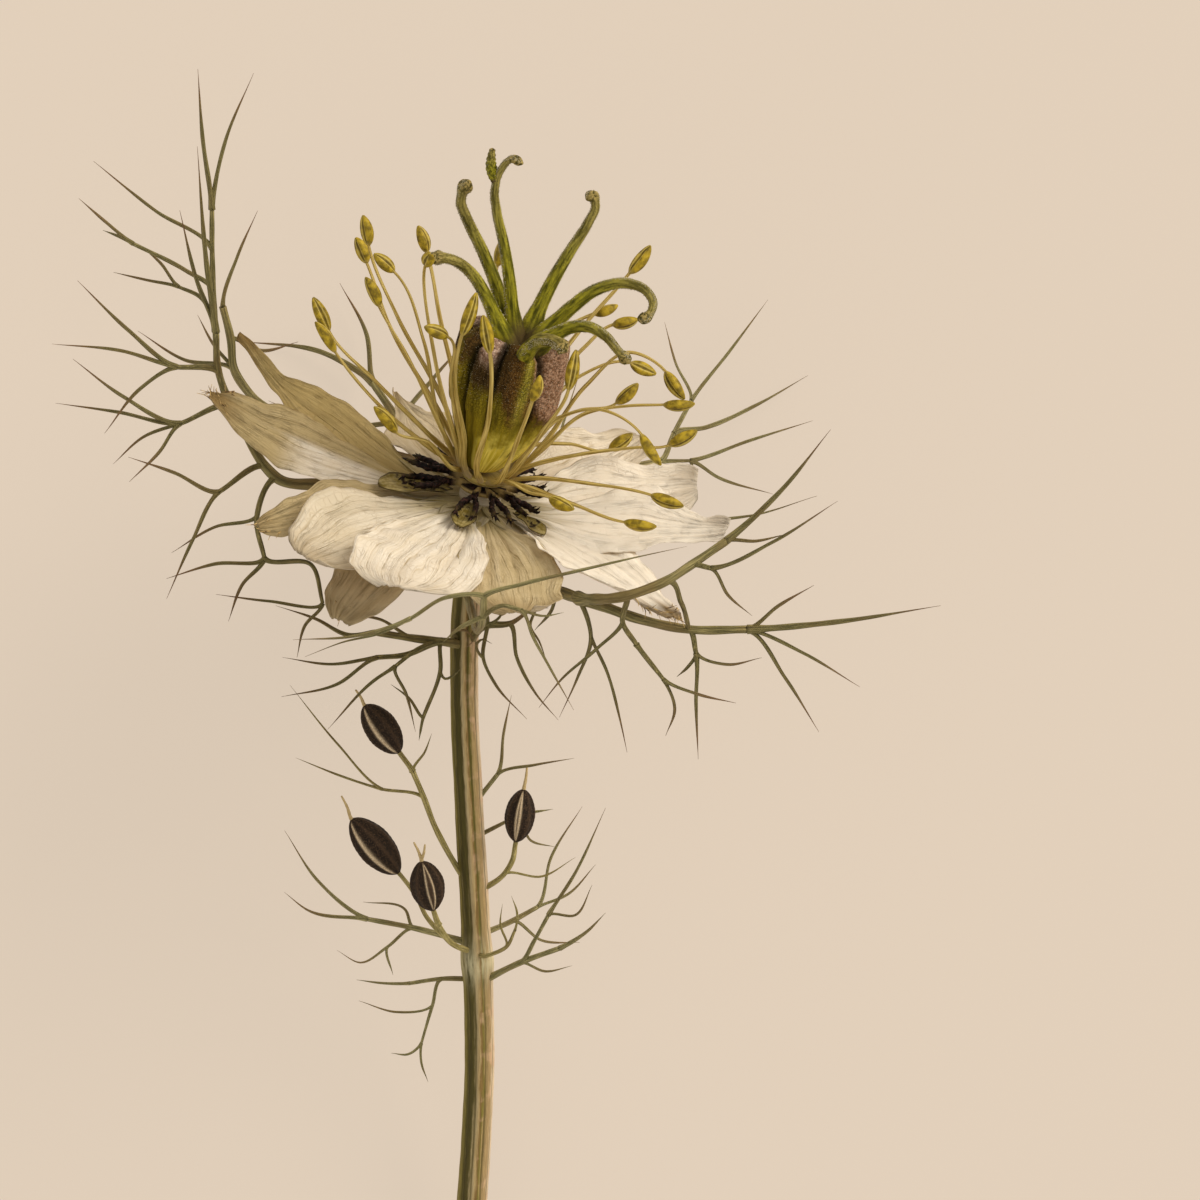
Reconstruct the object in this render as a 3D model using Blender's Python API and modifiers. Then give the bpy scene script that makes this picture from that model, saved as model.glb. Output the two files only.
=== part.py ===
"""Cut flowering stem of love-in-a-mist (nigella) with its young seed pod, lying on a surface.

The stem lies along +Y with its flower head raised, +X is the flower's right and +Z is up. The
stem rests on the lower edge of its cut end, and two back bracts touch the surface with their
tips. Sizes and places below are in millimetres, measured from the point under the flower's
centre; ORIGIN moves them to the middle of the part's footprint.
"""

import math

import bmesh
import bpy
import numpy as np
from mathutils import Matrix, Vector

MM = 0.001
ORIGIN = Vector((-1.6, 21.6, 0.0))

# The flower head: the receptacle's centre, and how its axis leans to the right and upwards.
HEAD = Vector((0.3, 0.0, 25.8))
LEAN_RIGHT = math.radians(13)
LEAN_UP = math.radians(22)

STEM_WIDTH = 2.7
STEM_RIBS = 9
STEM_RIB_DEPTH = 0.09
# The stem's centre line from the cut end to the receptacle, with its width beside each point.
STEM_PATH = [
    (-2.4, -80.0, 1.45, 1.04),
    (-1.3, -72.0, 3.1, 1.0),
    (-0.7, -63.9, 5.1, 1.0),
    (0.0, -50.4, 9.2, 0.98),
    (-0.3, -39.6, 12.6, 0.96),
    (-0.9, -27.9, 16.2, 0.94),
    (-1.3, -18.0, 19.4, 0.92),
    (-1.2, -12.0, 21.3, 0.94),
    (-0.75, -6.2, 23.2, 1.0),
    (-0.3, -3.2, 24.45, 1.45),
    (-0.15, -2.05, 24.95, 1.75),
]

# Heights above the receptacle's centre, along the flower's axis.
PETAL_DISC = (-1.8, -0.5)
NECTARY_DISC = (0.0, 0.5)
STAMEN_DISC = (0.9, 1.5)
POD_BASE = 1.9
POD_TOP = 15.4
PETAL_DISC_RADIUS = 3.5
NECTARY_DISC_RADIUS = 2.3
STAMEN_DISC_RADIUS = 2.0
DISC_SEGMENTS = 24

PETAL_THICKNESS = 0.6
PETAL_ROWS = 11
PETAL_COLUMNS = 4
# A petal starts this far from the axis, its edges rise with the cup and wave, and its twist is
# full at a share of its length. Its own belly is how far its middle bulges up.
PETAL_FOOT = 1.2
PETAL_CUP = 0.09
PETAL_WAVE = 0.55
PETAL_WAVES = 1.6
PETAL_WAVE_SKEW = 1.3
PETAL_TWIST_SHARE = 0.62
# Share of the petal's length, and share of its half width there, on a pointed petal and on a
# blunt one.
POINTED_OUTLINE = [
    (0.0, 0.15), (0.13, 0.16), (0.21, 0.24), (0.29, 0.48), (0.38, 0.77), (0.48, 0.97), (0.57, 0.99),
    (0.67, 0.78), (0.75, 0.47), (0.82, 0.24), (0.89, 0.13), (1.0, 0.07),
]
BLUNT_OUTLINE = [
    (0.0, 0.15), (0.13, 0.16), (0.21, 0.24), (0.29, 0.38), (0.38, 0.54), (0.5, 0.73), (0.64, 0.91),
    (0.78, 1.0), (0.88, 0.95), (0.95, 0.72), (1.0, 0.3),
]
# Azimuth, reach, half width, rise of the tip, height at the disc, twist in degrees, phase of
# the waved edge, bluntness and belly. Azimuth 0 is right, 90 down to the surface and 270 up.
PETALS = [
    (157, 26.4, 3.3, 6.3, -1.2, 32, 0.4, 0.0, -0.9),
    (180, 25.4, 3.6, 4.0, -1.0, 28, 1.9, 0.5, -0.5),
    (213, 22.0, 3.6, -2.1, -1.4, 22, 0.9, 0.35, 0.3),
    (231, 21.8, 5.4, -2.1, -1.25, 8, 2.6, 0.85, 0.4),
    (244, 21.8, 5.0, -5.9, -1.45, -8, 0.2, 0.6, 0.4),
    (257, 22.6, 6.2, -1.0, -1.05, -4, 1.3, 0.95, 0.2),
    (285, 22.2, 5.0, -0.8, -1.3, 0, 2.2, 0.9, 0.3),
    (319, 25.2, 5.3, -0.1, -1.1, -5, 0.7, 0.5, 0.4),
    (349, 22.4, 5.2, 4.6, -1.35, 20, 1.6, 0.3, 0.4),
    (18, 19.6, 5.0, 3.4, -1.15, 24, 2.9, 0.5, 0.4),
    (50, 20.0, 5.0, 3.5, -1.35, 12, 0.5, 0.5, 0.4),
    (84, 20.5, 5.0, 2.5, -1.15, 0, 1.1, 0.3, 0.4),
    (122, 18.0, 4.4, 2.4, -1.35, 10, 2.0, 0.1, 0.4),
]

# A nectary's neck runs from its foot to its fork, and its two lobes from the fork to their tips.
# Foot and fork are a reach and a rise over the disc. A nectary's row holds its azimuth, the reach
# and the rise of its tips, and how many degrees they stand to either side.
NECTARY_FOOT = (1.2, 0.0)
NECTARY_FORK = (3.2, 0.3)
NECTARIES = [
    (8, 5.8, 0.5, 9.0), (45, 6.6, 0.7, 9.5), (85, 6.2, 0.4, 9.5), (128, 7.0, 0.6, 9.0),
    (165, 7.4, 0.4, 8.0), (204, 7.4, 0.1, 10.0), (262, 7.9, -0.1, 8.0), (291, 7.2, 0.0, 7.5),
    (322, 6.4, 0.0, 8.0),
]
NECTARY_NECK_WIDTHS = (0.4, 0.9)
NECTARY_LOBE_WIDTHS = (0.85, 0.7)

FILAMENT_WIDTHS = (0.62, 0.5)
FILAMENT_RING = 1.6
# A filament ends inside its anther, at this share of the anther's length.
FILAMENT_SINK = 0.3
ANTHER_WIDTH = 1.25
# Each stamen: the azimuth of its foot, then its way to the anther's foot and the anther's tip.
STAMENS = [
    (172, [(-4.5, 4.9, 28.6), (-9.0, 9.4, 30.2), (-13.2, 13.9, 31.5)], (-14.6, 16.9, 32.2)),
    (182, [(-4.0, 3.4, 29.6), (-8.6, 7.2, 31.9), (-12.6, 12.0, 33.6)], (-14.4, 14.7, 34.2)),
    (162, [(-3.0, 7.5, 27.2), (-7.2, 15.3, 29.0), (-9.7, 21.5, 29.8)], (-10.2, 24.2, 30.4)),
    (150, [(-3.6, 7.0, 24.6), (-7.9, 14.5, 25.4), (-9.9, 20.0, 25.9)], (-10.9, 22.3, 26.0)),
    (176, [(-3.4, 5.8, 29.8), (-4.8, 13.0, 32.6), (-7.4, 19.1, 35.0)], (-9.2, 20.7, 35.6)),
    (190, [(-2.9, 4.6, 30.6), (-6.2, 11.6, 34.2), (-8.7, 16.0, 36.4)], (-9.9, 18.6, 37.4)),
    (205, [(-2.0, 4.2, 31.2), (-3.8, 11.5, 36.2), (-4.6, 19.6, 40.9)], (-4.2, 20.6, 43.0)),
    (215, [(-1.6, 4.6, 32.4), (-2.4, 9.2, 36.6), (-2.6, 13.3, 39.0)], (-4.7, 14.2, 40.0)),
    (225, [(-1.3, 5.0, 33.2), (-2.0, 9.6, 37.0), (-1.4, 13.4, 39.6)], (-0.1, 17.2, 40.6)),
    (262, [(-0.1, 2.2, 33.6), (1.0, 6.4, 37.6), (1.1, 11.8, 39.4)], (0.5, 15.2, 40.6)),
    (300, [(3.2, 1.6, 32.6), (5.6, 4.8, 36.0), (8.0, 8.6, 37.2)], (8.7, 12.2, 37.8)),
    (286, [(2.0, 0.8, 33.0), (3.6, 4.4, 37.2), (4.8, 7.6, 39.0)], (5.5, 9.9, 40.0)),
    (322, [(4.2, 3.0, 31.2), (7.4, 6.3, 33.8), (11.0, 6.9, 35.6), (14.4, 4.8, 36.4)],
     (16.2, 2.0, 36.8)),
    (345, [(5.4, 3.2, 28.8), (9.4, 6.6, 29.6), (13.2, 7.3, 30.4), (16.4, 7.4, 31.0)],
     (19.2, 7.5, 31.4)),
    (352, [(5.6, 3.8, 25.4), (9.6, 9.2, 25.6), (13.4, 12.1, 26.8), (16.6, 10.4, 27.4)],
     (18.3, 7.9, 27.8)),
    (5, [(5.4, 6.4, 23.8), (9.0, 10.0, 23.0), (13.5, 11.2, 22.8)], (15.8, 10.2, 22.6)),
    (332, [(4.4, 1.9, 29.6), (9.0, 3.0, 31.0), (14.0, 3.6, 32.2), (16.9, 3.8, 32.8)],
     (19.4, 5.1, 33.2)),
    (30, [(4.0, 3.6, 23.0), (8.0, 4.0, 21.6), (11.6, 3.5, 21.2)], (13.7, 4.9, 21.2)),
    (20, [(5.0, 5.2, 22.0), (9.0, 7.0, 20.4), (12.2, 7.6, 20.0)], (14.2, 9.4, 20.0)),
    (50, [(4.6, 8.0, 21.0), (9.4, 14.6, 19.4), (13.4, 19.2, 19.2)], (15.3, 21.7, 19.4)),
    (70, [(3.6, 8.2, 20.0), (6.8, 13.8, 18.6), (10.2, 15.6, 18.4)], (12.4, 16.4, 18.4)),
    (38, [(5.2, 6.8, 22.0), (9.4, 12.6, 21.0), (11.9, 14.6, 20.8)], (14.2, 15.1, 20.8)),
    (326, [(4.8, 0.9, 29.8), (10.0, 0.4, 31.6), (15.3, -0.6, 33.2)], (18.2, -1.6, 33.8)),
    (314, [(4.0, 0.2, 30.4), (8.4, -1.4, 33.0), (12.9, -3.0, 35.4)], (15.8, -3.4, 36.2)),
    (290, [(2.8, 0.6, 31.8), (4.6, -0.4, 33.8), (6.3, -0.8, 35.2)], (8.5, -1.9, 36.0)),
    (196, [(-2.6, 2.0, 30.0), (-4.4, 4.1, 31.6), (-7.2, 4.9, 32.6)], (-9.2, 7.2, 33.6)),
    (110, [(0.4, 9.0, 19.4), (1.0, 16.0, 19.8), (1.6, 19.8, 20.6)], (2.1, 22.2, 21.2)),
    (135, [(-1.6, 7.6, 21.4), (-3.4, 15.0, 21.6), (-4.6, 21.0, 22.4)], (-5.4, 23.4, 22.8)),
]

CARPELS = 7
CARPEL_TURN = math.radians(22)
CARPEL_GROOVE = 0.15
CARPEL_SEGMENTS = 6
POD_RINGS = 14
# Share of the pod's height, and its radius there.
POD_PROFILE = [
    (0.0, 0.0), (0.02, 1.6), (0.12, 2.7), (0.28, 3.8), (0.45, 4.6), (0.62, 5.15),
    (0.78, 5.2), (0.9, 4.5), (0.97, 3.1), (1.0, 0.0),
]
# Each style: its widths at the foot and at the tip, then its way from inside the pod's top. The
# last one is a swollen fold of the second style's tip.
STYLES = [
    (1.25, 0.75, [(2.9, 12.0, 31.0), (2.4, 14.0, 31.6), (1.9, 17.0, 32.2), (0.5, 20.8, 33.0),
                  (-1.05, 24.0, 34.0), (-1.5, 25.3, 34.8), (-1.3, 26.3, 35.2), (-0.7, 27.2, 35.4)]),
    (1.25, 0.5, [(3.4, 12.0, 31.6), (3.1, 14.6, 32.6), (2.8, 18.2, 34.2), (2.3, 21.6, 35.4),
                 (1.7, 24.3, 36.6), (1.5, 26.2, 37.4), (1.9, 27.8, 38.0), (3.0, 29.0, 38.6),
                 (4.0, 28.6, 39.2)]),
    (1.45, 0.6, [(3.9, 12.0, 30.8), (4.8, 14.6, 31.0), (6.2, 17.6, 31.2), (8.1, 20.9, 31.8),
                 (9.8, 23.6, 32.4), (10.4, 25.0, 32.8), (10.1, 25.9, 33.0), (9.6, 25.5, 33.2)]),
    (1.4, 0.6, [(4.2, 12.0, 31.6), (5.7, 13.5, 32.4), (8.3, 16.0, 33.6), (10.6, 17.6, 34.4),
                (13.2, 18.1, 35.0), (14.9, 17.4, 35.6), (15.5, 16.3, 36.0), (14.9, 15.1, 36.3),
                (14.1, 14.9, 36.4)]),
    (1.35, 0.6, [(4.2, 11.8, 32.6), (6.4, 13.3, 34.4), (8.3, 14.2, 35.4), (9.9, 14.2, 36.2),
                 (11.3, 13.4, 37.0), (12.4, 12.1, 37.8), (13.4, 11.0, 38.4)]),
    (1.6, 0.8, [(3.9, 11.0, 33.8), (4.5, 12.2, 36.4), (5.6, 13.0, 38.4), (6.8, 12.9, 39.8),
                (7.8, 12.1, 40.8)]),
    (1.3, 0.75, [(3.0, 12.0, 32.2), (1.9, 14.2, 33.6), (0.7, 17.0, 34.8), (-0.5, 18.9, 35.7),
                 (-1.7, 19.9, 36.6), (-2.9, 20.3, 37.4), (-4.3, 20.3, 38.0)]),
    (0.6, 0.6, [(1.6, 26.9, 37.7), (1.2, 28.4, 38.0), (1.3, 30.0, 38.3)]),
]

# A frond is a list of threads. Each has its width at the foot and at the tip, then its way,
# and each but the first starts on a point of an earlier one.
FRONDS = {
    "bract_left": [
        (1.6, 0.9, [(-2.6, -4.1, 23.1), (-8.0, -2.0, 22.6), (-13.0, 0.2, 22.8), (-18.0, 1.0, 23.2),
                    (-19.0, 2.0, 23.2), (-20.8, 5.2, 23.0), (-22.0, 7.3, 23.0)]),
        (0.9, 0.7, [(-22.0, 7.3, 23.0), (-23.1, 10.4, 25.0), (-23.3, 13.9, 27.6)]),
        (0.7, 0.25, [(-23.3, 13.9, 27.6), (-24.1, 20.3, 31.5), (-24.8, 30.2, 35.6)]),
        (0.55, 0.25, [(-23.3, 13.9, 27.6), (-25.0, 18.6, 30.0), (-26.4, 24.6, 33.0)]),
        (0.65, 0.55, [(-23.3, 13.9, 27.6), (-23.5, 17.6, 28.4), (-23.6, 21.2, 29.2),
                      (-23.6, 24.7, 30.0)]),
        (0.55, 0.25, [(-23.6, 24.7, 30.0), (-24.4, 31.0, 31.4), (-24.8, 37.1, 33.0)]),
        (0.55, 0.25, [(-23.6, 24.7, 30.0), (-22.4, 30.8, 30.2), (-19.9, 36.8, 30.4)]),
        (0.45, 0.25, [(-23.6, 21.2, 29.2), (-28.6, 24.6, 29.8), (-34.1, 29.0, 30.2)]),
        (0.5, 0.4, [(-23.5, 17.6, 28.4), (-25.9, 19.3, 28.8), (-30.6, 21.7, 29.4)]),
        (0.4, 0.25, [(-30.6, 21.7, 29.4), (-33.0, 23.6, 30.0), (-35.4, 25.7, 30.4)]),
        (0.4, 0.25, [(-30.6, 21.7, 29.4), (-32.0, 22.4, 28.8), (-33.3, 22.9, 28.4)]),
        (0.45, 0.35, [(-23.3, 13.9, 27.6), (-24.7, 17.0, 27.4), (-26.6, 17.9, 27.2)]),
        (0.35, 0.25, [(-26.6, 17.9, 27.2), (-29.4, 18.5, 27.0), (-32.4, 19.2, 26.6)]),
        (0.35, 0.25, [(-26.6, 17.9, 27.2), (-28.2, 20.0, 27.6), (-30.0, 21.6, 28.0)]),
        (0.7, 0.5, [(-23.1, 10.4, 25.0), (-26.8, 10.8, 26.4)]),
        (0.5, 0.25, [(-26.8, 10.8, 26.4), (-31.6, 12.2, 28.0), (-37.8, 12.8, 29.6)]),
        (0.5, 0.25, [(-26.8, 10.8, 26.4), (-31.0, 14.0, 28.6), (-35.5, 18.4, 31.0)]),
        (0.45, 0.25, [(-26.8, 10.8, 26.4), (-30.0, 8.9, 26.2), (-33.2, 4.9, 26.4)]),
        (0.7, 0.5, [(-22.0, 7.3, 23.0), (-26.5, 5.8, 24.2)]),
        (0.5, 0.25, [(-26.5, 5.8, 24.2), (-31.6, 8.2, 26.0), (-36.0, 11.5, 27.4)]),
        (0.5, 0.25, [(-26.5, 5.8, 24.2), (-32.0, 6.8, 24.2), (-37.6, 7.6, 24.6)]),
        (0.45, 0.25, [(-26.5, 5.8, 24.2), (-29.8, 4.6, 23.8), (-32.5, 2.2, 23.4)]),
        (0.45, 0.25, [(-26.5, 5.8, 24.2), (-28.4, 3.2, 25.4), (-31.0, 0.6, 26.4)]),
        (0.75, 0.55, [(-19.0, 2.0, 23.2), (-23.1, -0.3, 24.6)]),
        (0.5, 0.25, [(-23.1, -0.3, 24.6), (-27.0, 1.4, 25.4), (-31.1, 2.8, 26.0)]),
        (0.5, 0.25, [(-23.1, -0.3, 24.6), (-25.4, -4.6, 25.6), (-27.7, -9.8, 26.0)]),
        (0.7, 0.5, [(-18.0, 1.0, 23.2), (-19.7, -2.5, 24.6), (-19.0, -6.2, 26.4)]),
        (0.45, 0.25, [(-19.7, -2.5, 24.6), (-23.4, -3.4, 24.4), (-27.3, -5.7, 23.8)]),
        (0.45, 0.25, [(-19.0, -6.2, 26.4), (-23.4, -6.7, 26.8), (-27.7, -8.0, 26.6)]),
        (0.45, 0.25, [(-19.0, -6.2, 26.4), (-21.0, -8.6, 26.8), (-22.2, -11.8, 26.6)]),
        (0.5, 0.4, [(-19.0, -6.2, 26.4), (-14.8, -6.8, 27.6), (-13.8, -10.2, 28.2)]),
        (0.4, 0.25, [(-13.8, -10.2, 28.2), (-18.6, -10.0, 28.0), (-23.3, -9.4, 27.4)]),
        (0.4, 0.25, [(-13.8, -10.2, 28.2), (-15.4, -12.2, 28.0), (-16.1, -15.0, 27.6)]),
    ],
    "bract_left_back": [
        (1.5, 0.8, [(-1.6, -2.6, 21.2), (-8.0, 0.6, 17.8), (-15.0, 5.0, 14.6), (-20.4, 8.4, 13.0),
                    (-21.9, 10.7, 13.2), (-22.2, 13.4, 13.8), (-22.9, 16.3, 14.8)]),
        (0.45, 0.25, [(-22.9, 16.3, 14.8), (-21.6, 20.8, 14.2), (-19.8, 24.9, 13.8)]),
        (0.5, 0.25, [(-22.2, 13.4, 13.8), (-19.4, 12.4, 12.4), (-16.2, 13.2, 11.4)]),
        (0.45, 0.25, [(-21.9, 10.7, 13.2), (-23.8, 13.0, 12.4), (-25.2, 15.6, 12.0)]),
        (0.45, 0.25, [(-21.9, 10.7, 13.2), (-26.4, 11.6, 11.0), (-30.6, 14.2, 9.4)]),
    ],
    "bract_back": [
        (1.4, 0.8, [(-0.4, -1.4, 20.4), (-3.5, 1.8, 13.4), (-7.0, 5.8, 6.4), (-9.6, 9.6, 2.6)]),
        (0.7, 0.25, [(-9.6, 9.6, 2.6), (-14.0, 12.3, 1.3), (-21.6, 13.4, 0.12)]),
        (0.6, 0.25, [(-9.6, 9.6, 2.6), (-10.2, 14.0, 1.6), (-12.6, 18.6, 1.2)]),
        (0.6, 0.25, [(-7.0, 5.8, 6.4), (-13.0, 5.6, 4.2), (-19.0, 8.0, 2.8)]),
        (0.6, 0.25, [(-7.0, 5.8, 6.4), (-4.2, 10.0, 2.8), (-1.0, 13.6, 1.4)]),
        (0.55, 0.25, [(-3.5, 1.8, 13.4), (-8.4, 1.0, 9.4), (-13.6, 0.6, 7.4)]),
    ],
    "bract_right_back": [
        (1.4, 0.8, [(1.6, -2.4, 21.6), (5.6, 0.0, 16.0), (11.4, 1.6, 10.2), (16.2, 2.5, 7.0)]),
        (0.7, 0.5, [(16.2, 2.5, 7.0), (17.4, 5.0, 5.4), (19.0, 8.0, 4.0)]),
        (0.5, 0.25, [(19.0, 8.0, 4.0), (22.4, 12.4, 2.8), (25.9, 17.1, 2.0)]),
        (0.4, 0.25, [(19.0, 8.0, 4.0), (17.6, 11.4, 2.6), (16.6, 15.1, 2.0)]),
        (0.6, 0.25, [(17.4, 5.0, 5.4), (20.3, 5.6, 4.0), (24.8, 7.6, 1.8), (29.5, 10.3, 0.12)]),
        (0.6, 0.4, [(16.2, 2.5, 7.0), (18.9, 2.6, 6.2)]),
        (0.5, 0.25, [(18.9, 2.6, 6.2), (24.2, 4.4, 5.4), (29.9, 6.2, 4.8)]),
        (0.5, 0.25, [(18.9, 2.6, 6.2), (21.4, 1.1, 6.4), (26.3, -0.4, 7.0)]),
        (0.4, 0.25, [(18.9, 2.6, 6.2), (18.7, 0.8, 6.4), (17.3, -0.9, 6.4)]),
        (0.5, 0.25, [(11.4, 1.6, 10.2), (17.6, -2.4, 10.6), (24.0, -2.4, 11.6), (30.2, -0.6, 12.8)]),
        (0.5, 0.25, [(5.6, 0.0, 16.0), (7.4, 5.6, 8.2), (9.0, 10.6, 3.0)]),
    ],
    "bract_right": [
        (1.5, 1.2, [(1.75, -6.2, 23.5), (3.2, -7.2, 24.8), (5.0, -8.2, 29.0), (6.8, -9.0, 33.4),
                    (8.8, -9.7, 37.6)]),
        (1.15, 0.75, [(8.8, -9.7, 37.6), (10.4, -9.8, 41.4), (12.0, -9.7, 43.8), (13.1, -9.5, 44.8),
                      (16.6, -8.2, 44.6), (18.8, -6.8, 43.2), (21.9, -4.7, 41.8)]),
        (0.7, 0.25, [(21.9, -4.7, 41.8), (26.8, -0.2, 42.8), (31.1, 5.1, 44.0)]),
        (0.4, 0.25, [(21.9, -4.7, 41.8), (24.6, -4.7, 41.4), (27.2, -4.1, 41.0)]),
        (0.6, 0.5, [(18.8, -6.8, 43.2), (20.6, -7.1, 43.4)]),
        (0.5, 0.25, [(20.6, -7.1, 43.4), (26.0, -4.8, 44.6), (31.7, -1.2, 45.6)]),
        (0.4, 0.25, [(20.6, -7.1, 43.4), (22.1, -9.5, 42.8), (24.2, -11.3, 42.2)]),
        (0.6, 0.45, [(16.6, -8.2, 44.6), (18.0, -10.2, 40.0), (18.7, -12.5, 34.6)]),
        (1.1, 0.8, [(8.8, -9.7, 37.6), (11.2, -10.5, 36.8), (14.0, -11.5, 35.6), (18.7, -12.5, 34.6),
                    (23.8, -12.5, 34.4)]),
        (0.75, 0.25, [(23.8, -12.5, 34.4), (32.0, -11.8, 35.2), (40.9, -10.4, 36.6)]),
        (0.45, 0.25, [(23.8, -12.5, 34.4), (26.6, -10.4, 35.0), (29.7, -8.6, 35.6)]),
        (0.5, 0.25, [(23.8, -12.5, 34.4), (28.8, -14.6, 34.0), (33.8, -17.6, 33.4)]),
        (0.5, 0.25, [(23.8, -12.5, 34.4), (27.2, -16.8, 32.8), (30.2, -21.6, 31.2)]),
        (0.6, 0.5, [(18.7, -12.5, 34.6), (19.3, -14.6, 34.2)]),
        (0.5, 0.25, [(19.3, -14.6, 34.2), (19.3, -19.0, 33.0), (19.5, -24.0, 31.6)]),
        (0.4, 0.25, [(19.3, -14.6, 34.2), (18.6, -15.8, 33.4), (17.6, -16.7, 32.6)]),
        (0.4, 0.25, [(19.3, -14.6, 34.2), (22.0, -15.6, 34.6), (25.1, -15.0, 35.0)]),
        (0.6, 0.5, [(13.1, -9.5, 44.8), (12.8, -11.9, 42.4), (14.0, -13.8, 40.6)]),
        (0.55, 0.4, [(14.0, -13.8, 40.6), (16.4, -16.9, 38.8)]),
        (0.4, 0.25, [(16.4, -16.9, 38.8), (17.4, -19.6, 37.4), (16.6, -21.9, 36.2)]),
        (0.4, 0.25, [(16.4, -16.9, 38.8), (19.4, -18.2, 38.6), (22.8, -19.0, 38.4)]),
        (0.5, 0.25, [(8.8, -9.7, 37.6), (10.0, -13.2, 35.0), (8.8, -16.8, 32.2), (7.2, -20.3, 30.0)]),
        (0.4, 0.25, [(12.8, -11.9, 42.4), (10.4, -14.3, 40.4), (7.4, -16.9, 38.4), (5.4, -19.4, 36.8)]),
        (0.5, 0.25, [(6.8, -9.0, 33.4), (6.6, -10.6, 32.6), (5.0, -12.6, 31.4)]),
        (0.35, 0.25, [(10.0, -13.2, 35.0), (11.4, -16.2, 33.6), (12.6, -20.6, 32.0), (13.2, -23.4, 31.0)]),
    ],
    "bract_front": [
        (1.1, 0.8, [(-0.6, -8.6, 24.8), (-0.4, -11.6, 31.0), (0.0, -12.6, 38.5), (0.5, -11.4, 45.0),
                    (0.6, -9.6, 47.4)]),
        (0.65, 0.25, [(0.6, -9.6, 47.4), (4.0, -8.5, 48.6), (8.6, -7.4, 49.4), (14.2, -6.1, 50.0),
                      (18.4, -5.2, 50.4)]),
        (0.65, 0.3, [(0.6, -9.6, 47.4), (-2.8, -9.7, 48.0), (-5.8, -11.5, 47.4), (-8.5, -12.8, 46.0),
                     (-11.8, -13.6, 44.0), (-15.2, -14.9, 41.8)]),
        (0.8, 0.3, [(0.5, -11.4, 45.0), (-1.6, -12.4, 45.4), (-3.2, -13.8, 45.2)]),
        (0.5, 0.25, [(-5.8, -11.5, 47.4), (-10.4, -13.0, 47.0), (-16.2, -13.4, 45.6)]),
        (0.7, 0.5, [(0.5, -11.4, 45.0), (2.2, -10.4, 46.8), (3.9, -10.8, 47.8)]),
        (0.5, 0.25, [(3.9, -10.8, 47.8), (4.9, -13.1, 47.8), (6.2, -15.5, 47.0), (8.5, -19.6, 45.4)]),
        (0.4, 0.25, [(3.9, -10.8, 47.8), (5.8, -11.3, 47.8), (7.6, -11.0, 47.4)]),
    ],
    "bract_lower_left": [
        (1.2, 0.8, [(-3.1, -12.8, 22.2), (-3.3, -13.6, 23.2), (-5.8, -13.3, 24.2), (-9.0, -12.8, 25.0)]),
        (0.6, 0.25, [(-9.0, -12.8, 25.0), (-11.6, -13.0, 25.6), (-14.4, -11.6, 26.0),
                     (-18.0, -10.4, 26.2)]),
        (0.45, 0.25, [(-5.8, -13.3, 24.2), (-8.8, -11.6, 25.6), (-12.4, -11.2, 26.4)]),
        (0.8, 0.6, [(-3.3, -13.6, 23.2), (-6.6, -14.8, 24.4), (-9.0, -15.0, 25.2)]),
        (0.5, 0.25, [(-9.0, -15.0, 25.2), (-13.0, -15.6, 25.8), (-17.4, -15.0, 26.2)]),
        (0.5, 0.25, [(-9.0, -15.0, 25.2), (-12.6, -17.4, 26.0), (-17.5, -18.5, 26.6)]),
        (0.7, 0.5, [(-3.3, -13.6, 23.2), (-5.6, -14.4, 25.4), (-7.4, -15.8, 26.0)]),
        (0.5, 0.25, [(-7.4, -15.8, 26.0), (-9.2, -17.0, 26.2), (-13.4, -21.4, 26.0)]),
        (0.45, 0.25, [(-7.4, -15.8, 26.0), (-6.4, -18.3, 25.6), (-5.6, -21.6, 25.2)]),
        (0.5, 0.4, [(-3.3, -13.6, 23.2), (-3.4, -16.2, 24.2), (-4.9, -20.3, 24.6)]),
        (0.35, 0.25, [(-4.9, -20.3, 24.6), (-5.3, -22.4, 24.4)]),
        (0.35, 0.25, [(-4.9, -20.3, 24.6), (-6.2, -18.6, 24.2), (-7.8, -17.4, 23.8)]),
        (0.35, 0.3, [(-3.1, -12.8, 22.2), (-2.2, -12.6, 23.4), (-1.0, -12.7, 23.9), (-0.5, -13.5, 23.8),
                     (-1.2, -14.2, 23.5)]),
        (0.35, 0.3, [(-3.4, -16.2, 24.2), (-3.0, -16.9, 24.4), (-2.2, -16.6, 24.4), (-1.6, -16.0, 24.2)]),
    ],
    "bract_lower_right": [
        (1.0, 0.6, [(0.75, -13.4, 21.6), (0.7, -12.2, 23.2), (2.75, -12.0, 23.9), (5.0, -10.7, 24.4),
                    (6.2, -10.6, 24.6)]),
        (0.45, 0.25, [(0.7, -12.2, 23.2), (0.8, -11.4, 24.0), (0.4, -10.5, 24.6)]),
        (0.45, 0.25, [(0.7, -12.2, 23.2), (1.7, -11.6, 24.2), (2.5, -10.5, 24.6)]),
        (0.5, 0.25, [(0.7, -12.2, 23.2), (0.4, -15.0, 23.4), (1.5, -17.4, 23.6), (4.3, -20.5, 23.8)]),
        (0.5, 0.25, [(2.75, -12.0, 23.9), (3.4, -15.0, 23.8), (5.0, -18.1, 23.4), (7.1, -20.6, 22.8)]),
        (0.35, 0.25, [(5.0, -10.7, 24.4), (4.6, -12.2, 23.6), (5.4, -13.6, 23.2), (6.0, -15.2, 22.8)]),
        (0.35, 0.25, [(0.4, -15.0, 23.4), (-0.2, -13.9, 24.2), (0.4, -13.4, 24.8), (1.2, -13.8, 24.8)]),
    ],
    "leaf_right": [
        (0.9, 0.6, [(1.7, -43.0, 12.4), (3.7, -42.3, 13.6), (7.2, -41.0, 15.2)]),
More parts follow.
